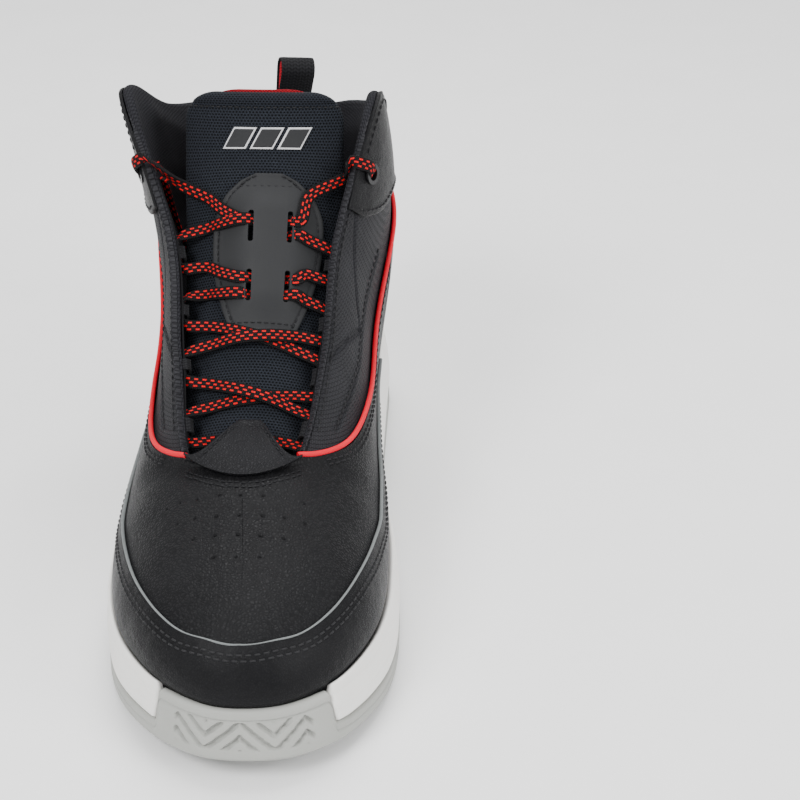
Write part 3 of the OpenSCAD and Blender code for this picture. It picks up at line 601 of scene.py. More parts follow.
def rib(name, dark, light, pitch, rough=0.8, deep=0.25, tint=(1, 1, 1)):
    """Webbing: chevron ribs running along the tape."""
    m = Look(name, rough, 0.12, sheen=0.015, uv=True, sheen_tint=tint)
    x, y = m.axes()
    zig = m.math("PINGPONG", x, pitch)
    wave = m.sine(m.mul(m.add(y, m.mul(zig, 0.6)), 2 * math.pi / pitch))
    warp = m.sine(m.mul(x, 2 * math.pi / (pitch * 0.9)))
    height = m.mad(m.add(wave, m.mul(warp, 0.7)), 0.29, 0.5)
    # Lighter on the ribs and darker between them, following the height: a painted highlight and painted shade;
    # the noise is random colour variation.
    m.colour(m.blend(m.mad(m.noise(5, 3), 0.35, m.mul(height, 0.7)), dark, light))
    m.bump(height, deep)
    m.bump(m.noise(0.3, 2), 0.05)
    return m.mat


def lace_cloth():
    """Flat woven lace, black with three staggered rows of red dashes."""
    m = Look("lace_cord", 0.75, 0.1, uv=True)
    x, y = m.axes()
    col = m.div(x, 1.35)
    row = m.math("ROUND", col)
    off = m.mul(m.abs(row), 0.5)
    dash = m.fract(m.add(m.div(y, 3.3), off))
    inside = m.less(m.abs(m.sub(dash, 0.5)), 0.24)
    narrow = m.less(m.abs(m.sub(col, row)), 0.27)
    core = m.less(m.abs(x), 2.1)
    red = m.mul(m.mul(inside, narrow), core)
    braid = m.mul(m.abs(m.sine(m.mul(m.add(y, m.abs(x)), math.pi / 0.75))),
                   m.abs(m.sine(m.mul(x, math.pi / 0.68))))
    # Lighter on the braid's crests and darker in its grooves: a painted highlight and painted shade; the red
    # dashes are print.
    base = m.blend(braid, (0.001, 0.001, 0.001), (0.016, 0.015, 0.016))
    m.colour(m.blend(red, base, (0.62, 0.008, 0.01)))
    m.bump(braid, 0.3)
    m.bump(red, 0.12)
    return m.mat


def plain(name, dark, light, rough, grain, deep, **kw):
    m = Look(name, rough, **kw)
    fac = m.noise(grain, 4)
    m.colour(m.blend(fac, dark, light))
    m.rough(m.fit(fac, 0.3, 0.7, rough - 0.05, rough + 0.07))
    m.bump(fac, deep)
    return m.mat


TUMBLED = leather("tumbled_leather", (0.0025, 0.0025, 0.003), (0.011, 0.011, 0.012), 1.3, 0.42, 0.13)
SMOOTH = leather("smooth_leather", (0.0025, 0.0025, 0.003), (0.009, 0.009, 0.01), 0.8, 0.36, 0.05, 0.2)
PEBBLED = leather("pebbled_leather", (0.003, 0.003, 0.0035), (0.014, 0.014, 0.016), 1.0, 0.44, 0.12)
QUARTER = weave("quarter_weave", (0.001, 0.001, 0.0015), (0.03, 0.03, 0.034), 1.7, 0.6, 0.35)
# Light grey for the mudguards' cut edge: a painted highlight along the edge.
CUT_EDGE_HIGHLIGHT = plain("leather_cut_edge_highlight", (0.09, 0.1, 0.1), (0.2, 0.21, 0.21), 0.8, 0.6, 0.08, spec=0.15)
RIBBED = weave("lining_ribbed", (0.0015, 0.0015, 0.002), (0.022, 0.022, 0.026), 1.3, 0.85, 0.22, basket=1)
TONGUE_MESH = mesh_cloth("tongue_mesh", (0.001, 0.0013, 0.002), (0.018, 0.021, 0.028), 1.35, deep=0.4,
                         flecks=4.0)
RED_LINING = mesh_cloth("red_lining", (0.12, 0.004, 0.006), (0.5, 0.018, 0.03), 1.4, tint=(1, 0.4, 0.4))
RED_TRIM = weave("red_trim", (0.45, 0.004, 0.012), (0.8, 0.012, 0.035), 0.5, 0.6, 0.08, 0.3, (1, 0.5, 0.5))
WHITE_RUBBER = rubber("midsole_foam", (0.7, 0.69, 0.66), (0.82, 0.81, 0.78), 0.5)
GREY_RUBBER = rubber("outsole_rubber", (0.29, 0.295, 0.275), (0.35, 0.355, 0.335), 0.55)
PLATE_RUBBER = rubber("plate_rubber", (0.012, 0.0125, 0.0135), (0.02, 0.0205, 0.022), 0.62, 0.4, 0.04, 8)
BADGE_RUBBER = rubber("badge_rubber", (0.42, 0.42, 0.43), (0.58, 0.58, 0.59), 0.45, 0.4, 0.04, 6)
WEBBING = rib("webbing", (0.0015, 0.0015, 0.002), (0.014, 0.014, 0.016), 1.5)
RED_TAPE = rib("red_tape", (0.25, 0.006, 0.012), (0.6, 0.024, 0.04), 1.3, tint=(1, 0.5, 0.5))
THREAD = plain("black_thread", (0.002, 0.002, 0.0025), (0.014, 0.014, 0.016), 0.55, 0.25, 0.05, spec=0.2)
GREY_THREAD = plain("grey_thread", (0.003, 0.003, 0.0035), (0.02, 0.02, 0.022), 0.55, 0.25, 0.05, spec=0.25)
LACE_CORD = lace_cloth()
AGLET = plain("aglet_plastic", (0.012, 0.012, 0.013), (0.022, 0.022, 0.024), 0.2, 3, 0.02, coat=0.5)
METAL = plain("eyelet_metal", (0.01, 0.01, 0.011), (0.03, 0.03, 0.032), 0.3, 1.2, 0.02, metal=0.6)
BOARD = plain("board", (0.42, 0.33, 0.2), (0.58, 0.48, 0.32), 0.85, 0.9, 0.1)
BLACK_BOARD = plain("black_board", (0.002, 0.002, 0.0025), (0.008, 0.008, 0.009), 0.85, 0.9, 0.1, spec=0.1)
STIFF = plain("stiffener", (0.36, 0.3, 0.18), (0.5, 0.43, 0.28), 0.7, 1.5, 0.08)
FOAM = plain("foam", (0.55, 0.45, 0.18), (0.72, 0.62, 0.3), 0.9, 0.7, 0.35)
SHANK_PLASTIC = plain("shank_plastic", (0.02, 0.02, 0.02), (0.045, 0.045, 0.045), 0.45, 2, 0.03)
INSOLE = weave("insole_fabric", (0.008, 0.008, 0.01), (0.045, 0.045, 0.05), 0.9, 0.85, 0.12, 0.3, basket=1)
LINING = weave("lining_fabric", (0.006, 0.006, 0.007), (0.035, 0.035, 0.04), 0.8, 0.85, 0.1, 0.2, basket=1)
# CAD nodes that stay as they are, mostly hidden inside.
for look, kept in ((SHANK_PLASTIC, "shank"), (BOARD, "strobel_board"), (STIFF, "toe_puff heel_counter"),
                   (BLACK_BOARD, "eyestay_lateral eyestay_medial"),
                   (FOAM, "collar_foam_lateral collar_foam_medial"), (METAL, "eyelets")):
    for node in kept.split():
        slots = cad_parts[node].data.materials
        slots.clear()
        slots.append(look)

# ---- seams ------------------------------------------------------------------------------
# A place on the upper is (u, v): u is the station round the shoe, positive on the lateral side, and
# v goes from 0 at the sole to 1 at the top edge.
def level(u0, u1, v):
    return lambda t: (u0 + (u1 - u0) * np.asarray(t, float), np.full(np.shape(t), float(v)))


def on_side(side, edge, shift=(0, 0)):
    def at(t):
        p = along(edge, t)
        return side * (p[..., 0] + shift[0]), p[..., 1] + shift[1]
    return at


def both_sides(edge):
    def at(t):
        s = 2 * np.asarray(t, float) - 1
        p = along(edge, np.abs(s))
        return np.sign(s) * p[..., 0], p[..., 1]
    return at


def inset(u, v, d):
    """The line (u, v) moved d mm sideways within the skin, to the left of its direction seen from outside."""
    p = hide(u, v)
    t = unit(np.gradient(p, axis=0))
    out = unit(np.cross(normal(u, v), t)) * d
    e = 0.01
    su, sv = (hide(u + e, v) - hide(u - e, v)) / (2 * e), (hide(u, v + e) - hide(u, v - e)) / (2 * e)
    a, b, c = (su * su).sum(-1), (su * sv).sum(-1), (sv * sv).sum(-1)
    p, q = (out * su).sum(-1), (out * sv).sum(-1)
    det = a * c - b * b
    return u + (p * c - q * b) / det, v + (a * q - b * p) / det


def seam(line, depth, t0=0.0, t1=1.0, shift=0.0, n=160):
    """A line on the skin as (points, normals), for stitches, piping and grooves."""
    t = np.linspace(t0, t1, n)
    u, v = line(t) if callable(line) else (np.interp(t, np.linspace(0, 1, len(line)), [p[0] for p in line]),
                                           np.interp(t, np.linspace(0, 1, len(line)), [p[1] for p in line]))
    if shift:
        u, v = inset(u, v, shift)
    return upper(u, v, depth), normal(u, v)


# ---- leather upper ----------------------------------------------------------------------
OUTER, OVERLAY, QUARTER_AT = (-1.4, 0.0), (0.2, 1.6), (-3.3, -1.9)
VAMP_END = [8.7, 0.49]
LINING_OUT, LINING_T, PAD = -4.9, 1.2, 4.0
EYELETS = ((8.5, 0.9),)
# Sewn lines on a quarter, and the soft fold behind a flap, as (station, height) on one side.
QUILT = ([[7.0, 0.93], [7.55, 0.66]], [[7.55, 0.66], [8.25, 0.9]], [[6.35, 0.74], [7.2, 0.63], [8.4, 0.6]])
FLAP_FOLD = [[9.35, 0.98], [9.6, 0.78], [9.9, 0.72]]
COLLAR_END, COLLAR_TOP = 11.3, 0.985
HOLE_R = 3.35


def top_line(side, start):
    """The top edge of one side, from a station back to the end of the collar flap."""
    return level(side * start, side * COLLAR_END, COLLAR_TOP)


def vamp_top(t):
    s = 2 * np.asarray(t, float) - 1
    a = np.abs(s) * 2
    p = along(PIPE_EDGE[:7] + [VAMP_END], np.clip(a - 1, 0, 1))
    ridge = a <= 1
    return np.sign(s) * np.where(ridge, 6 * a, p[..., 0]), np.where(ridge, 1.0, p[..., 1])


def vamp_base(t):
    s = 2 * np.asarray(t, float) - 1
    a = np.abs(s)
    return np.sign(s) * np.where(a < 0.5, 5.6 * a * 2, 5.6 + 3.02 * (a * 2 - 1)), np.full(np.shape(s), 0.15)


def lumps(points):
    """Soft swellings and creases: each is (x, y, z, reach along x, y, z, height) in mm."""
    def at(u, v, el=None, eh=None):
        p = hide(u, v)
        out = np.zeros(p.shape[:-1])
        for x, y, z, rx, ry, rz, h in points:
            off = (p - (x, y, z)) / (rx, ry, rz)
            out += h * np.exp(-(off[..., 0] ** 2 + off[..., 1] ** 2 + off[..., 2] ** 2))
        return out
    return at


vamp = panel("vamp_leather", vamp_base, vamp_top, TUMBLED, OUTER, nu=260, nv=70, r=0.7,
             fold=lambda u: np.abs(u) <= 5, open_low=True, replaces=["vamp"], slot="tumbled_leather",
             relief=lumps([
                 (4, -108, 62, 20, 4, 12, -0.5), (-6, -96, 64, 24, 5, 14, 0.4),
                 (2, -78, 70, 26, 3.5, 14, -0.4), (26, -62, 66, 9, 12, 10, -0.6),
                 (-30, -60, 66, 9, 12, 10, -0.5)]))
HOLES = ((-75, (-32.5, -27.5, -21, -13, -5, 3.5, 18.5)), (-85, (-27.5, -21, -13, -4.5, 4, 12, 19.5)),
         (-95, (-20.5, -12.5, -4, 4, 12.5)), (-105, (-12, -4, 4.5)))
FIND_U, FIND_V = np.meshgrid(np.linspace(-6, 6, 241), np.linspace(0.4, 0.999, 160), indexing="ij")
FIND_AT = hide(FIND_U, FIND_V)


def on_vamp(x, y, depth=0.0):
    k = np.argmin((FIND_AT[..., 0] - x) ** 2 + (FIND_AT[..., 1] - y) ** 2)
    u, v = FIND_U.flat[k], FIND_V.flat[k]
    return upper(u, v, depth), normal(u, v)


cut(vamp, [drill(*on_vamp(x, y), 0.95, 0.6, 0.9, 14, 0.45) for y, xs in HOLES for x in xs], 75)

wrinkles = lumps([
    (-6, -141, 52, 4, 9, 5, -0.7), (6, -139, 54, 5, 9, 6, 0.6), (16, -134, 54, 4, 9, 6, -0.6),
    (-18, -134, 52, 5, 9, 6, 0.5), (30, -120, 52, 6, 7, 6, -0.4), (-34, -116, 54, 6, 8, 7, 0.4)])
panel("mudguard_leather", both_sides([[p[0], 0] for p in MUD_EDGE]), both_sides(MUD_EDGE), SMOOTH, OVERLAY,
            nu=300, nv=44, r=0.5, open_low=True, replaces=["mudguard"], slot="smooth_leather",
            inner=lambda u, v: -1.2 + 1.4 * smooth(0.06, 0.14, v),
            relief=lambda u, v, el, eh: -1.4 * (1 - smooth(0.06, 0.14, v)) + wrinkles(u, v))
for side, name in ((LAT, "lateral"), (MED, "medial")):
    quilt = [(seam([[side * a, v] for a, v in line], 0, n=300)[0], 0.9, 0.7) for line in QUILT]
    quarter = panel("quarter_" + name + "_weave",
                    on_side(side, [[max(p[0], 5.7), p[1] - 0.06] for p in PIPE_EDGE]),
                    top_line(side, 6.1), QUARTER, QUARTER_AT, nu=170, nv=90, r=0.7, grooves=quilt,
                    relief=lambda u, v, el, eh: 0.9 * bell(eh, 1.6, 1.7) * (np.abs(u) < 8.6)
                    - 0.5 * bell(eh, 4.0, 0.8) * (np.abs(u) < 8.6),
                    open_low=True, replaces=["quarter_" + name], slot="quarter_weave")
    collar = panel("collar_" + name + "_leather", on_side(side, COLLAR_EDGE), top_line(side, 8.4), SMOOTH, OUTER,
                   nu=120, nv=60, r=0.7, replaces=["collar_panel_" + name], slot="smooth_leather",
                   grooves=[(seam([[side * a, v] for a, v in FLAP_FOLD], 0, n=300)[0], 2.2, 0.9)])
    holes = [drill(upper(side * a, v, 0), normal(side * a, v), HOLE_R, 2, 3.8, 24) for a, v in EYELETS]
    cut(collar, holes)
    cut(quarter, holes)
    pts, nrm = seam(on_side(side, PIPE_EDGE, (0.06, 0.012)), -0.35, n=500)
    pts, nrm = resample(pts, 0.8, nrm)
    sweep("piping_" + name + "_cord", pts, nrm, oval(2.1, 1.9, 14, 2), RED_TRIM, replaces=["piping_" + name],
          slot="red_trim", sharp=80)

TOP = [[8.74, 0.495], [9.2, 0.55], [10.2, 0.67], [11.3, 0.78], [12, 0.8]]


def round_heel(edge):
    def at(t):
        t = np.asarray(t, float)
        p = along(edge, np.where(t < 0.5, t * 2, 2 - t * 2))
        return np.where(t < 0.5, p[..., 0], 24 - p[..., 0]), p[..., 1]
    return at


panel("heel_leather", round_heel([[p[0] - 0.1 * (12 - p[0]) / 3.2, 0.04] for p in TOP]),
      round_heel([[p[0], p[1] - 0.004] for p in TOP]), SMOOTH, OUTER, nu=200, nv=70, r=0.7, open_low=True,
      replaces=["heel_panel"], slot="smooth_leather")
panel("backstay_leather", level(11.62, 12.38, 0.135), level(11.15, 12.85, COLLAR_TOP), PEBBLED, (0.2, 1.2),
      nu=30, nv=90, r=0.6, replaces=["backstay"], slot="smooth_leather")
panel("loop_anchor_tape", level(11.75, 12.25, 0.78), level(11.75, 12.25, 0.98), WEBBING, (1.3, 2.9),
      nu=16, nv=30, r=0.5, replaces=["heel_loop_anchor"], slot="webbing")

# ---- linings: fabric that rolls over the top edge to meet the leather ------------------------
def swell(u, v):
    a = np.abs(u)
    return PAD * smooth(0.5, 0.72, v) * (1 - smooth(0.86, 1, v)) * smooth(8.6, 9.4, a)


def lining(side, name):
    u = side * np.concatenate([np.linspace(5.8, 8.2, 50), np.linspace(8.25, 11.97, 90)])
    flat = np.concatenate([np.linspace(0.02, 0.5, 24), np.linspace(0.515, 0.972, 44)])
    turn = np.radians(np.linspace(6, 150, 15))
    a = np.abs(u)
    roll = 0.75 + 1.55 * smooth(8.3, 8.9, a)
    tall = np.linalg.norm(hide(u, 0.99) - hide(u, 0.89), axis=-1) / 0.1
    rows_v = np.concatenate([np.broadcast_to(flat, (len(u), len(flat))),
                             0.975 + np.sin(turn)[None] * (roll / tall)[:, None]], 1)
    base = LINING_OUT - LINING_T + 1.3 * (1 - smooth(8.3, 8.9, a))
    inner = base[:, None] - swell(u[:, None], rows_v)
    inner[:, len(flat):] = (base + roll)[:, None] - np.cos(turn)[None] * roll[:, None]
    outer = inner + (0.6 + 0.6 * smooth(8.3, 8.9, a))[:, None]
    shrink = np.clip(roll - LINING_T, 0.1, 9)
    outer[:, len(flat):] = (base + roll)[:, None] - np.cos(turn)[None] * shrink[:, None]
    back_v = rows_v.copy()
    back_v[:, len(flat):] = 0.975 + np.sin(turn)[None] * (shrink / tall)[:, None]
    grid_u = np.broadcast_to(u[:, None], rows_v.shape)
    front, back = upper(grid_u, rows_v, inner), upper(grid_u, back_v, outer)
    run = travelled(front)
    up = travelled(front, 1)
    verts, faces, uvs = solid(front, back, np.stack([run.mean(1)[:, None] + 0 * up, up], -1))
    ob = make("collar_" + name + "_lining", verts, faces, RIBBED, "shoe", uvs,
              replaces=["collar_lining_" + name], slot="lining_mesh")
    cut(ob, [drill(upper(side * a_, v, 0), normal(side * a_, v), HOLE_R, -2.5, 8.5, 24) for a_, v in EYELETS])


lining(LAT, "lateral")
lining(MED, "medial")
reach = 5.6


def fore(t):
    u = -reach + 2 * reach * np.asarray(t, float)
    return u, 1 - 0.07 * smooth(5, reach, np.abs(u))


panel("vamp_lining_cloth", level(-reach, reach, 0.02), fore, LINING, (-4.7, -3.6), nu=110, nv=40, r=0.4,
      fold=lambda u: np.abs(u) <= 5, replaces=["vamp_lining"], slot="lining_fabric")

# ---- sole -------------------------------------------------------------------------------
OUTSOLE_T = 5


def from_toe(u):
    a = np.mod(u, N)
    return np.minimum(a, N - a)


def base(u):
    return hide(u, 0.0)


def outward(u, e=0.01):
    d = base(u + e) - base(u - e)
    return unit(np.stack([-d[..., 1], d[..., 0], 0 * d[..., 0]], -1))


def ground(y):
    return np.where(y < -80, 0.0022 * (-80 - y) ** 2, np.where(y > 118, 0.004 * (y - 118) ** 2, 0))


def bumper(u):
    a = from_toe(u)
    return 1 - smooth(1.66, 1.78, a)


def heel_rise(u):
    return smooth(8, 12, from_toe(u))


def sole_off(u):
    toe = 3 * (1 - smooth(0.6, 2.4, from_toe(u)))
    return 4.8 - 0.6 * np.sin(np.radians(15 * u)) + toe + 1.5 * heel_rise(u)


def wall_off(u):
    b = 1 - smooth(1.5, 2.1, from_toe(u))
    return (sole_off(u) - 1.6) * (1 - b) + 2.2 * b


def sole_stations(n):
    return np.linspace(0, N, n, endpoint=False)


def ring_grid(u, offs, zs):
    """Rings round the sole: offs and zs are (stations, rows)."""
    p, n = base(u), outward(u)
    out = p[:, None] + n[:, None] * offs[..., None]
    out[..., 2] = zs
    return out


def caps(grid, row, cols):
    """Fills a ring from side to side with a grid, so that its surface can carry relief."""
    n = len(grid)
    half = n // 2
    edge = grid[:, row]
    a, b = edge[1:half], edge[n - 1:half:-1]
    t = np.linspace(0, 1, cols)
    return a[:, None] * (1 - t)[None, :, None] + b[:, None] * t[None, :, None]


def sole_body(name, mat, offs, zs, u, bottom=None, top=None, **kw):
    grid = ring_grid(u, offs, zs)
    n, k = grid.shape[:2]
    verts = [grid.reshape(-1, 3)]
    faces = []
    ids = np.arange(n * k).reshape(n, k)
    nxt = np.roll(ids, -1, 0)
    walls = np.stack([ids[:, :-1], nxt[:, :-1], nxt[:, 1:], ids[:, 1:]], -1).reshape(-1, 4)
    faces.append(walls)
    count = n * k
    half = n // 2
    tris = []
    for row, relief, cols in ((0, bottom, 90), (k - 1, top, 24)):
        fill = caps(grid, row, cols)
        if relief is not None:
            fill = fill.copy()
            fill[:, 1:-1, 2] += relief(fill[:, 1:-1])
        m = len(fill)
        cap = np.empty((m, cols), int)
        cap[:, 0], cap[:, -1] = ids[1:half, row], ids[n - 1:half:-1, row]
        cap[:, 1:-1] = count + np.arange(m * (cols - 2)).reshape(m, cols - 2)
        verts.append(fill[:, 1:-1].reshape(-1, 3))
        count += m * (cols - 2)
        faces.append(np.stack([cap[:-1, :-1], cap[1:, :-1], cap[1:, 1:], cap[:-1, 1:]], -1).reshape(-1, 4))
        for tip, line in ((ids[0, row], cap[0]), (ids[half, row], cap[-1])):
            tris += [(tip, line[j], line[j + 1]) for j in range(cols - 1)]
    run = travelled(grid[:, 0])
    verts = np.vstack(verts)
    uv = verts[:, :2].copy()
    uv[:n * k] = np.stack([np.broadcast_to(run[:, None], (n, k)), grid[..., 2]], -1).reshape(-1, 2)
    faces = [tuple(f) for block_ in faces for f in block_.tolist()] + tris
    return make(name, verts, faces, mat, "shoe", uv, **kw)


su = sole_stations(960)
p0 = base(su)
g = ground(p0[:, 1])
b = bumper(su)
rim = (g + OUTSOLE_T + 3) * (1 - b) + (p0[:, 2] + 4) * b
corner = 2.0
low_z, top_off = g + corner, wall_off(su) + 1.5
off_rows, z_rows = [], []
for q in np.linspace(0, 1, 5)[:-1]:
    off_rows.append(sole_off(su) - corner * (1 - math.sin(q * math.pi / 2)))
    z_rows.append(g + corner * (1 - math.cos(q * math.pi / 2)))
r_top = 1.0 + 0.9 * b
arc = travelled(p0)
arc = np.where(arc > arc[-1] / 2, arc - arc[-1], arc)
zig = np.abs(np.mod(np.abs(arc) / 10.5, 2) - 1) * 10
for q in np.linspace(0, 1, 46):
    z = low_z + (rim - r_top - low_z) * q
    share = smooth(0, 1, np.full(len(su), q)) * 0.6 + 0.4 * q
    off = sole_off(su) * (1 - share) + top_off * share
    band = np.mod((z - low_z - zig) / 5.2, 1.0)
    cutin = 1 - smooth(0.13, 0.21, np.abs(band - 0.5))
    zone = smooth(2.5, 3.5, z - low_z) * smooth(4.2, 5.2, rim - z) * (1 - smooth(1.3, 1.36, from_toe(su)))
    line = bell(rim - z, 4.0, 0.5) * b
    side_line = bell(q, 0.55, 0.08) * (1 - b) * 0.35
    off_rows.append(off - 1.5 * cutin * zone - 0.7 * line * (b > 0.9) - side_line)
    z_rows.append(z)
for q in np.radians([30, 60, 90, 120, 150]):
    off_rows.append(top_off - r_top + r_top * np.cos(q))
    z_rows.append(rim - r_top + r_top * math.sin(q))
inner_off = wall_off(su) + 0.2
off_rows += [np.minimum(inner_off, top_off - 1.1), inner_off]
z_rows += [rim - r_top - 0.3, g + OUTSOLE_T]


def tread(p):
    """Herringbone grooves with a pivot point under the ball of the foot."""
    x, y = p[..., 0], p[..., 1]
    zig = np.abs(np.mod((x + 200) / 12.0, 2) - 1) * 7
    wave = np.mod((y + zig) / 7.0, 1.0)
    cutin = 1 - smooth(0.12, 0.2, np.abs(wave - 0.5))
    ring_ = np.hypot(x - 4, y + 62)
    pivot = (1 - smooth(0.12, 0.2, np.abs(np.mod(ring_ / 6.0, 1.0) - 0.5)))
    disc = 1 - smooth(20.5, 21.5, ring_)
    share = np.linspace(0, 1, p.shape[1])
    edge = smooth(0.04, 0.08, share)[None] * smooth(0.04, 0.08, share[::-1])[None]
    arch = 1 - smooth(0, 1, 1 - np.abs(np.clip((y - 28) / 30, -1, 1)))
    return 1.6 * (cutin * (1 - disc) + pivot * disc) * edge * (0.25 + 0.75 * arch)


def ground_lift(p):
    return ground(p[..., 1]) - p[..., 2] + tread(p)


sole_body("outsole_shell", GREY_RUBBER, np.stack(off_rows, 1), np.stack(z_rows, 1), su, bottom=ground_lift,
          top=lambda p: ground(p[..., 1]) + OUTSOLE_T - p[..., 2], replaces=["outsole"],
          slot="outsole_rubber", sharp=50)

lip = p0[:, 2] + (6 * (1 - heel_rise(su)) + 11 * heel_rise(su)) * (1 - smooth(0, 1, b))
step = np.minimum(rim + 0.15, lip - 0.6)
mo, mz = [wall_off(su) + 0 * su], [g + OUTSOLE_T + 0.1]
outer_mid = (sole_off(su) - 0.4) * (1 - b) + 2.2 * b
top_mid = 3.2 * (1 - b) + 2.2 * b
for q in np.linspace(0.0, 1.0, 26):
    z = step + (lip - 0.9 - step) * q
    swell_ = np.sin(np.clip(q, 0, 1) * math.pi) ** 0.5 * 0.8
    high = smooth(0.3, 1, np.full(1, q))
    off = (wall_off(su) + (outer_mid - wall_off(su)) * np.minimum(1, q / 0.12)) * (1 - high) + top_mid * high
    cutin = (bell(q, 0.42, 0.045) + bell(q, 0.8, 0.04)) * 0.55 * (1 - b)
    mo.append(off + (swell_ - cutin) * (1 - b) * 0.6)
    mz.append(z)
for q in np.radians([25, 50, 75, 90, 120, 150]):
    mo.append(top_mid - 0.75 + 0.75 * np.cos(q))
    mz.append(lip - 0.9 + 0.75 * math.sin(q))
mo += [0.7 + 0 * b, 0.7 + 0 * b]
mz += [lip - 1.2, p0[:, 2] - 2]
sole_body("midsole_cup", WHITE_RUBBER, np.stack(mo, 1), np.stack(mz, 1), su, replaces=["midsole"],
          slot="midsole_foam", sharp=60)
iu = sole_stations(360)
ib = base(iu)
inset_at = LINING_OUT - LINING_T - 0.8
io = np.stack([inset_at - 1 + 0 * iu, inset_at - 0.2 + 0 * iu, inset_at + 0 * iu, inset_at - 0.15 + 0 * iu,
               inset_at - 0.6 + 0 * iu, inset_at - 1.4 + 0 * iu], 1)
iz = ib[:, 2][:, None] + np.array([0.4, 0.9, 2.4, 3.6, 4.2, 4.5])[None]
sole_body("insole_cloth", INSOLE, io, iz, iu, replaces=["insole"], slot="insole_fabric", sharp=60)

# ---- tongue -----------------------------------------------------------------------------
TONGUE_LINE = [[-72, 61], [-46, 71], [-16, 94], [14, 123.5], [36, 152], [47, 180]]
TONGUE_HALF = [23, 27, 30, 32, 33.5, 33]
TONGUE_MID = [-5, -5, -4.5, -4, -3.8, -3.7]
TONGUE_CROWN = [5, 11, 15, 16, 14, 10]
TONGUE_THICK = [0.4, 0.6, 0.8, 1, 1.15, 0.9]


def tongue_sheet(s, t):
    s, t = np.broadcast_arrays(np.asarray(s, float), np.asarray(t, float))
    e = 0.01
    c = spline(TONGUE_LINE, 5 * t)
    d = unit(spline(TONGUE_LINE, 5 * (t + e)) - spline(TONGUE_LINE, 5 * (t - e)))
    drop = spline(TONGUE_CROWN, 5 * t) * s * s
    return np.stack([spline(TONGUE_MID, 5 * t) + s * spline(TONGUE_HALF, 5 * t), c[..., 0] + d[..., 1] * drop,
                     c[..., 1] - d[..., 0] * drop], -1)


def tongue_normal(s, t):
    e = 0.01
    w = np.clip(t, e, 1 - e)
    across = tongue_sheet(s + e, w) - tongue_sheet(s - e, w)
    return unit(np.cross(across, tongue_sheet(s, w + e) - tongue_sheet(s, w - e)))


def tongue(s, t, d):
    return tongue_sheet(s, t) + tongue_normal(s, t) * np.asarray(d, float)[..., None]


def tongue_depth(t):
    return 6 * spline(TONGUE_THICK, 5 * np.asarray(t, float))


def pad_edge(s):
    return 1 - 0.55 * np.abs(s) ** 4


def patch(name, across, t0, t1, mat, outer, inner, ns=70, nt=150, r=0.6, tip=0.0, relief=None, **kw):
    """A patch of the tongue. across(t) gives its left and right s; tip rounds its top corners, in mm."""
    tall = (t1 - t0) * 160
    t = t0 + (t1 - t0) * spaced(tall, nt)
    left, right = across(t)
    if tip:
        e = np.clip((t1 - t) * 160, 0, tip)
        pull = (tip - np.sqrt(np.maximum(tip**2 - (tip - e) ** 2, 0))) / 33
        left, right = left + pull, right - pull
    q = spaced(50, ns)
    s = left[:, None] * (1 - q) + right[:, None] * q
    tt = np.broadcast_to(t[:, None], s.shape)
    p = tongue_sheet(s, tt)
    x = travelled(p, 1)
    y = np.insert(np.cumsum(steps(p).mean(1)), 0, 0.0)[:, None] + 0 * x
    e = np.minimum(np.minimum(x, x[:, -1:] - x), np.minimum(y, y[-1:] - y))
    d = outer(s, tt) - rounded(e, r)
    back = inner(s, tt) if callable(inner) else inner + 0 * s
    if relief is not None:
        d = d + relief(s, tt, x, y)
    back = np.minimum(back, d - 0.25)
    verts, faces, uvs = solid(tongue(s, tt, d), tongue(s, tt, back), np.stack([x - x[:, -1:] / 2, y], -1))
    return make(name, verts, faces, mat, "tongue", uvs, **kw)


def half_width(s):
    return lambda t: (-s + 0 * t, s + 0 * t)


def lining_face(s, t):
    """The red lining rolls forward over the tongue's top edge and round its sides."""
    side = 2.2 * smooth(0.86, 0.99, np.abs(s)) * pad_edge(s)
    return -2 - tongue_depth(t) * pad_edge(s) + 3.4 * smooth(0.95, 0.995, t) + side


def lining_back(s, t):
    side = 1.6 * smooth(0.86, 0.99, np.abs(s))
    return -3.1 - tongue_depth(t) * pad_edge(s) + 2.2 * smooth(0.95, 0.995, t) + side


cover = patch("tongue_mesh_cover", half_width(1), 0, 0.992, TONGUE_MESH, lambda s, t: 0 * s,
              lambda s, t: -1.2 - 3.2 * np.abs(s) ** 40, r=4.2, tip=13, nt=190, ns=80,
              replaces=["tongue_cover"], slot="lining_mesh",
              relief=lambda s, t, x, y: -0.7 * bell(t, 0.958, 0.006) + 0.5 * bell(t, 0.976, 0.012))
pad = patch("tongue_padding", half_width(0.86), 0.04, 0.955, FOAM, lambda s, t: -1.6 + 0 * s,
            lambda s, t: -1.6 - tongue_depth(t) * pad_edge(s), r=1.2, tip=13, ns=30, nt=60,
            replaces=["tongue_foam"], slot="foam")
patch("tongue_red_lining", half_width(0.99), 0.02, 0.999, RED_LINING, lining_face, lining_back, r=0.5, tip=22,
      replaces=["tongue_lining"], slot="red_lining")

PLATE_T = [0.448, 0.5, 0.56, 0.62, 0.68, 0.73, 0.765, 0.783]
PLATE_LEFT = [-0.3, -0.43, -0.53, -0.56, -0.53, -0.42, -0.24, -0.06]
PLATE_RIGHT = [0.48, 0.6, 0.7, 0.74, 0.72, 0.6, 0.42, 0.24]
PLATE_MID, SLOT_ROWS = 0.12, [0.536, 0.658]


def plate_edge(t, shrink=0.0):
    i = np.interp(t, PLATE_T, np.arange(len(PLATE_T)))
    left, right = spline(PLATE_LEFT, i), spline(PLATE_RIGHT, i)
    return left + shrink, right - shrink


def dome(s, t):
    tall = smooth(0.462, 0.53, t)
    return 3.3 * (1 - smooth(0.14, 0.62, np.abs(s - PLATE_MID))) * tall * (1 - smooth(0.69, 0.765, t))


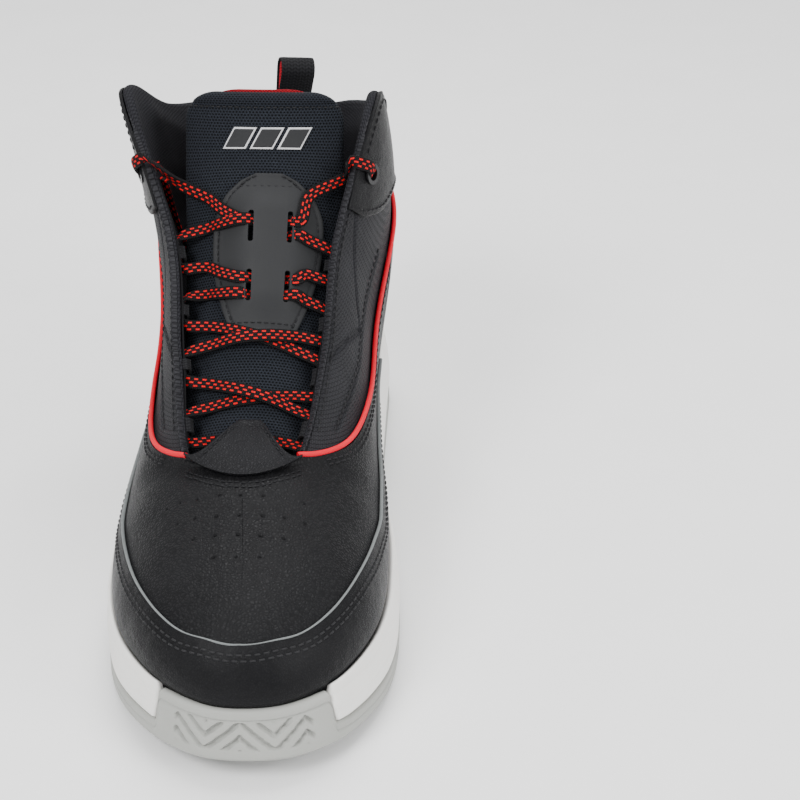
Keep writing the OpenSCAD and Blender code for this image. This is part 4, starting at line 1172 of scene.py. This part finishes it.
def rim_groove(s, t, x, y):
    edge = np.minimum(np.minimum(x, x[:, -1:] - x), np.minimum(y, y[-1:] - y))
    return -0.3 * bell(edge, 2.6, 0.5)


plate = patch("tongue_shield", plate_edge, 0.448, 0.783, PLATE_RUBBER, lambda s, t: 1.9 + dome(s, t),
              lambda s, t: 0.3 + dome(s, t), r=0.8, ns=110, nt=130, relief=rim_groove,
              replaces=["tongue_plate"], slot="plate_rubber")
tools = []
for row in SLOT_ROWS:
    for side in (-1, 1):
        s_ = PLATE_MID + side * 0.205
        n_ = tongue_normal(s_, row)
        b_ = unit(tongue_sheet(s_, row + 0.01) - tongue_sheet(s_, row - 0.01))
        tools.append(block(tongue(s_, row, 2), unit(np.cross(b_, n_)), b_, n_, 2.2, 12.6, 9, 5, 0.9))
cut(plate, tools)


def bars(name, look, grow, low, high, **kw):
    """Three slanted bars near the top of the tongue."""
    parts = []
    for mid in (-0.26, 0.06, 0.38):
        t = 0.846 - grow / 160 + (0.05 + grow / 80) * spaced(8, 12, (0.15, 0.35, 0.6))
        q = spaced(7, 10, (0.15, 0.35, 0.6))
        s = (mid - 0.12 - grow / 33 + 2.4 * (t - 0.871))[:, None] + (0.24 + grow / 16.5) * q
        tt = np.broadcast_to(t[:, None], s.shape)
        e = np.minimum(np.minimum(q, 1 - q)[None] * 7, (np.minimum(t - t[0], t[-1] - t) * 160)[:, None])
        parts.append(solid(tongue(s, tt, high - rounded(e, 0.4)), tongue(s, tt, low + 0 * s))[:2])
    return make(name, *join(parts), look, "tongue", **kw)


bars("tongue_bars", BADGE_RUBBER, 0.55, 0.1, 0.9, replaces=["tongue_badge"], slot="badge_rubber")
bars("tongue_bar_faces", PLATE_RUBBER, -0.15, 0.6, 1.25, replaces=["tongue_badge"], slot="badge_rubber")


def tongue_line_at(s, t, depth):
    s, t = np.asarray(s, float), np.asarray(t, float)
    return tongue(s, t, depth + 0 * s), tongue_normal(s, t)


tt = np.linspace(0.456, 0.774, 120)
left, right = plate_edge(tt, 0.075)
outline = [tongue_line_at(left, tt, 1.85), tongue_line_at(right, tt, 1.85)]
for row in (0.468, 0.752):
    a_, b_ = plate_edge(np.array([row]), 0.09)
    ss = np.linspace(a_[0], b_[0], 40)
    outline.append(tongue_line_at(ss, np.full(40, row), 1.85))
thread("tongue_plate_stitches", outline, THREAD, "tongue", 2.6, 1.9, 0.3)
ss = np.linspace(-0.88, 0.88, 90)
thread("tongue_top_stitches", [tongue_line_at(ss, np.full(90, 0.952), 0.0)], THREAD, "tongue", 2.6, 1.9, 0.3)

# ---- throat tab ----------------------------------------------------------------------------
def tab_rise(s):
    return 0.05 + 0.95 * (1 - smooth(0.18, 0.98, np.abs(s)))


def tab_grid(s, q, d):
    foot = np.stack([-5.5 + 22 * s, -67 + 11 * s * s, 72.3 + 1.8 * s * s], -1)
    rise = tab_rise(s) * q
    top = tongue(0.03 + 0.5 * s, 0.262 + 0 * s, 3.2 + 6 * s * s)
    bow = np.array([0, -0.5, 0.85]) * (7 * rise * (1 - rise))[..., None]
    out = tongue_normal(0.6 * s, 0.2 + 0 * s) * d[..., None]
    return foot * (1 - rise[..., None]) + top * rise[..., None] + bow + out


q_s, q_t = -1 + 2 * spaced(46, 60), spaced(26, 34)
gs, gt = np.meshgrid(q_s, q_t, indexing="ij")
face = tab_grid(gs, gt, 0 * gs)
across_, up_ = travelled(face), travelled(face, 1)
edge_ = np.minimum(np.minimum(across_, across_[-1:] - across_), up_[:, -1:] - up_)
thick = 1.5 - rounded(edge_, 0.9) + 0.35 * bell(edge_, 1.6, 1.2) - 0.3 * bell(edge_, 3.6, 0.6)
verts, faces, uvs = solid(tab_grid(gs, gt, thick), face, np.stack([across_, up_], -1))
make("throat_tab_leather", verts, faces, PEBBLED, "shoe", uvs, replaces=["throat_tab"], slot="smooth_leather")
inner_s = np.linspace(-0.66, 0.66, 60)
tab_lines = [(tab_grid(inner_s, 1 - 0.15 / tab_rise(inner_s), 1.4 + 0 * inner_s),
              tongue_normal(0.6 * inner_s, 0.2 + 0 * inner_s))]
for ahead in (2.6, 4.8):
    found = [on_vamp(-5.5 + 22 * x, -67 + 11 * x * x - ahead, 0.05) for x in np.linspace(-0.95, 0.95, 40)]
    tab_lines.append((np.array([p for p, _ in found]), np.array([n for _, n in found])))
thread("throat_tab_stitches", tab_lines, THREAD, "shoe", 2.6, 1.9, 0.3)

# ---- laces ----------------------------------------------------------------------------------
TURN_V, TURN_DEPTH, LOW, HIGH = 0.925, -6.6, 1.4, 3.2
LACE_W, LACE_T = 5.0, 1.7


def turn(side, a, b):
    return [[side, u, v, TURN_DEPTH] for u, v in ((a, TURN_V), ((a + b) / 2, TURN_V - 0.015), (b, TURN_V))]


def mix(a, b, t):
    return a + (b - a) * t


def crossing(s, t0, t1, d):
    return [[-0.5 * s, mix(t0, t1, 0.24), mix(LOW, d, 0.4)], [-0.16 * s, mix(t0, t1, 0.42), d],
            [0.16 * s, mix(t0, t1, 0.58), d], [0.5 * s, mix(t0, t1, 0.76), mix(LOW, d, 0.4)]]


def lift(s, t):
    """Depth of what lies under a lace: the tongue, or the plate where there is one."""
    left, right = plate_edge(np.clip(t, 0.448, 0.783))
    on = smooth(-0.06, 0.04, min(s - left, right - s)) * smooth(0.435, 0.455, t)
    on = on * (1 - smooth(0.775, 0.795, t))
    return float(on * (1.9 + dome(s, t)) + 0.95)


def through_plate(t0, t1, row, layer):
    """From the lateral to the medial side, under the middle of the plate, where two laces cross."""
    m, t = PLATE_MID, SLOT_ROWS[row]
    a, b, under = t + 0.015 * np.sign(t0 - t), t + 0.015 * np.sign(t1 - t), 0.95 + 1.7 * layer
    path = [[-0.62, mix(t0, a, 0.35)], [-0.42, mix(t0, a, 0.7)], [m - 0.31, a], [m - 0.17, a, under],
            [m, t, under], [m + 0.17, b, under], [m + 0.31, b], [0.52, mix(b, t1, 0.5)]]
    return [p if len(p) == 3 else [*p, lift(*p) + 0.3 * layer] for p in path]


def eyelet_pass(side, s, t):
    a, v = EYELETS[0]
    return [[s, t, 5], [side, a - 0.1, 1.03, -1.2], [side, a - 0.06, 0.99, 1.3],
            [side, a - 0.01, v + 0.035, 1.8], [side, a, v, 0.2], [side, a, v, -8.5]]


LATERAL_TURNS = [[6.23, 6.49], [6.8, 7.01], [7.31, 7.53], [7.8, 8.02]]
MEDIAL_TURNS = [[6.17, 6.46], [6.69, 6.96], [7.2, 7.45], [7.73, 7.94]]
ROUTE = (eyelet_pass(LAT, -0.86, 0.76)[::-1] + through_plate(0.76, 0.63, 1, 0)
         + turn(MED, *MEDIAL_TURNS[3][::-1]) + through_plate(0.535, 0.577, 0, 0)[::-1]
         + turn(LAT, *LATERAL_TURNS[2][::-1]) + crossing(1, 0.485, 0.4, 3)
         + turn(MED, *MEDIAL_TURNS[1][::-1]) + crossing(-1, 0.34, 0.29, LOW)
         + turn(LAT, *LATERAL_TURNS[0][::-1]) + crossing(1, 0.225, 0.22, LOW)
         + turn(MED, *MEDIAL_TURNS[0]) + crossing(-1, 0.28, 0.37, HIGH)
         + turn(LAT, *LATERAL_TURNS[1]) + crossing(1, 0.42, 0.455, 4.8)
         + turn(MED, *MEDIAL_TURNS[2]) + through_plate(0.6, 0.51, 0, 1)[::-1]
         + turn(LAT, *LATERAL_TURNS[3]) + through_plate(0.66, 0.79, 1, 1) + eyelet_pass(MED, 0.9, 0.785))


def route_point(p):
    if len(p) == 3:
        return tongue(p[0], p[1], p[2]), tongue_normal(p[0], p[1])
    return upper(p[0] * p[1], p[2], p[3]), normal(p[0] * p[1], min(p[2], 0.98))


def smooth_path(points, ups, step):
    """A soft curve through the points, kept close to straight between them."""
    p, n = np.asarray(points, float), np.asarray(ups, float)
    chord = np.sqrt(np.maximum(steps(p), 1e-6))
    knots = np.concatenate([[0], np.cumsum(chord)])
    m = np.gradient(p, knots, axis=0)
    out, up = [], []
    for i in range(len(p) - 1):
        h = knots[i + 1] - knots[i]
        k = max(2, int(np.linalg.norm(p[i + 1] - p[i]) / 0.4))
        t = np.linspace(0, 1, k, endpoint=False)[:, None]
        out.append(hermite(p[i], p[i + 1], m[i] * h, m[i + 1] * h, t))
        up.append(unit(n[i] * (1 - t) + n[i + 1] * t))
    out.append(p[-1:])
    up.append(n[-1:])
    return resample(np.vstack(out), step, np.vstack(up))


route = [route_point(p) for p in ROUTE]
pts, ups = smooth_path([p for p, _ in route], [n for _, n in route], 0.9)
sweep("lace_cord_laced", pts, ups, oval(LACE_W, LACE_T, 18, 3.0), LACE_CORD, replaces=["lace"],
      slot="lace_cord", sharp=80)


def sleeves(name, side, turns):
    """Flat webbing loops that the lace turns through, under the eyestay."""
    parts, uvs = [], []
    for a, b in turns:
        q = np.linspace(a + 0.05, b - 0.05, 9)
        bow = TURN_V - 0.015 * (1 - ((q - (a + b) / 2) / ((b - a) / 2)) ** 2)
        line, up = upper(side * q, bow, TURN_DEPTH), normal(side * q, bow)
        across = unit(np.cross(unit(np.gradient(line, axis=0)), up))
        rings = []
        for grow in (2.9, 1.2):
            ring = oval(LACE_W + grow, LACE_T + grow, 20, 3.5)
            rings.append(line[None] + ring[:, None, :1] * across[None] + ring[:, None, 1:] * up[None])
        k = np.arange(20)[:, None] * 0.9 + np.zeros((1, 9))
        v, f, w_ = solid(rings[0], rings[1], np.stack([k, 0 * k + np.arange(9)[None] * 0.8], -1), wrap=True)
        parts.append((v, f))
        uvs += w_.tolist()
    make("loops_" + name, *join(parts), WEBBING, "shoe", uvs, replaces=["lace_loops_" + name], slot="webbing")


sleeves("lateral", LAT, LATERAL_TURNS)
sleeves("medial", MED, MEDIAL_TURNS)

TAIL_UP = [0.3, 0.2, 0.93]
TAIL_LATERAL = [[-45, 50, 140], [-42, 58, 118], [-33, 60, 84], [-28, 56, 54], [-24, 46, 40], [-22, 22, 38.4],
                [-14, -6, 37], [0, -14, 36.6], [10, -6, 37], [12, 8, 37.8]]
TAIL_MEDIAL = [[33, 50, 140], [33, 58, 118], [30, 66, 84], [26, 70, 54], [20, 76, 43], [4, 84, 41.9],
               [-10, 82, 41.8], [-18, 72, 41.3], [-14, 60, 40.8], [-2, 54, 40.4]]
for name, points in (("lateral", TAIL_LATERAL), ("medial", TAIL_MEDIAL)):
    line = resample(along(points, np.linspace(0, 1, 400)), 1.2)
    ob = sweep("lace_end_" + name, line, np.tile(TAIL_UP, (len(line), 1)), oval(3.6, 1.8, 14, 2.6), LACE_CORD,
               replaces=["lace_tail_" + name], slot="lace_cord", sharp=80)
    end, d = line[-1], unit(np.array(points[-1], float) - points[-2])
    tip = end + d * 0.4 + np.outer(np.array([0, 0.3, 0.8, 3, 6, 9, 12, 15, 18, 20, 21, 21.7, 22]), d)
    aglet = sweep("aglet_" + name, tip, np.tile(TAIL_UP, (len(tip), 1)), oval(3.0, 3.0, 16, 2), AGLET,
                  scale=[0.8, 0.96, 1, 1, 0.97, 1, 0.98, 1, 0.98, 1, 0.97, 0.85, 0.6], replaces=["aglets"],
                  slot="aglet_plastic", sharp=60)

# ---- heel loop -------------------------------------------------------------------------------
LOOP_FOOT, LOOP_RISE, LOOP_LEAN, LOOP_TWIST = [0, 148.1, 135.8], 14.7, 7, 16


def loop_path(r, foot):
    rise = LOOP_RISE
    lean = math.asin((r - foot) / rise)
    a = np.linspace(-lean, math.pi + lean, 40)
    bow = np.stack([0 * a, r * np.cos(a), rise + r * np.sin(a)], -1)
    legs = [[0, foot, 0.6], [0, (foot + bow[0][1]) / 2, bow[0][2] / 2]]
    pts = np.vstack([legs, bow, [[0, -p[1], p[2]] for p in legs[::-1]]])
    out = np.stack([0 * pts[:, 0], pts[:, 1], np.where(pts[:, 2] > rise, pts[:, 2] - rise, 0)], -1)
    return resample(pts, 0.8, unit(out + 1e-9))


spin = np.array(Matrix.Rotation(math.radians(LOOP_LEAN), 3, "Y")
                @ Matrix.Rotation(math.radians(LOOP_TWIST), 3, "Z"))
for name, r, foot, thick, wide, look, slot_ in (
        ("heel_loop_tape", 4.75, 1.35, 1.1, 15, WEBBING, "webbing"),
        ("heel_loop_inner_tape", 3.85, 0.45, 0.7, 13, RED_TAPE, "red_trim")):
    pts, ups = loop_path(r, foot)
    pts, ups = pts @ spin.T + LOOP_FOOT, ups @ spin.T
    sweep(name, pts, ups, oval(wide, thick, 24, 6), look, "pull_loop", replaces=["heel_loop"], slot=slot_,
          sharp=60)

# ---- stitches on the upper ---------------------------------------------------------------------
mud_top = both_sides(MUD_EDGE)
thread("mudguard_stitches", [seam(mud_top, 1.55, 0.04, 0.96, off, 600) for off in (3.6, 5.6)], GREY_THREAD)
rows = []
for side in (LAT, MED):
    edge = on_side(side, PIPE_EDGE[:7] + [VAMP_END])
    for off in (2.6, 4.6):
        rows.append(seam(edge, -0.02, 0.22, 0.97, off * side, 400))
    rows.append(seam(top_line(side, 6.3), -1.92, 0.02, 0.4, 3.6 * side, 400))
    rows.append(seam(top_line(side, 8.45), -0.02, 0.03, 0.98, 3.4 * side, 400))
    rows.append(seam(on_side(side, COLLAR_EDGE), -0.02, 0.1, 0.98, -2.4 * side, 400))
    rows.append(seam([[side * 6.35, 0.76], [side * 7.2, 0.65], [side * 8.4, 0.62]], -1.92))
thread("upper_stitches", rows, THREAD)
# A thin light-grey roll along each mudguard edge: a painted highlight on the cut edge.
for side, name in ((LAT, "lateral"), (MED, "medial")):
    pts, nrm = seam(on_side(side, MUD_EDGE), 0.85, n=600)
    pts, nrm = resample(pts, 0.8, nrm)
    sweep("mudguard_edge_highlight_" + name, pts, nrm, oval(0.9, 1.5, 10, 2), CUT_EDGE_HIGHLIGHT, slot="smooth_leather", sharp=80)

# ---- floor ------------------------------------------------------------------------------------
me = bpy.data.meshes.new("floor")
me.from_pydata([(-3, -3, -0.0002), (3, -3, -0.0002), (3, 3, -0.0002), (-3, 3, -0.0002)], [], [(0, 1, 2, 3)])
floor = bpy.data.objects.new("floor", me)
bpy.context.scene.collection.objects.link(floor)
me.materials.append(plain("floor_paper", (0.86, 0.86, 0.86), (0.9, 0.9, 0.9), 0.8, 40, 0.02))
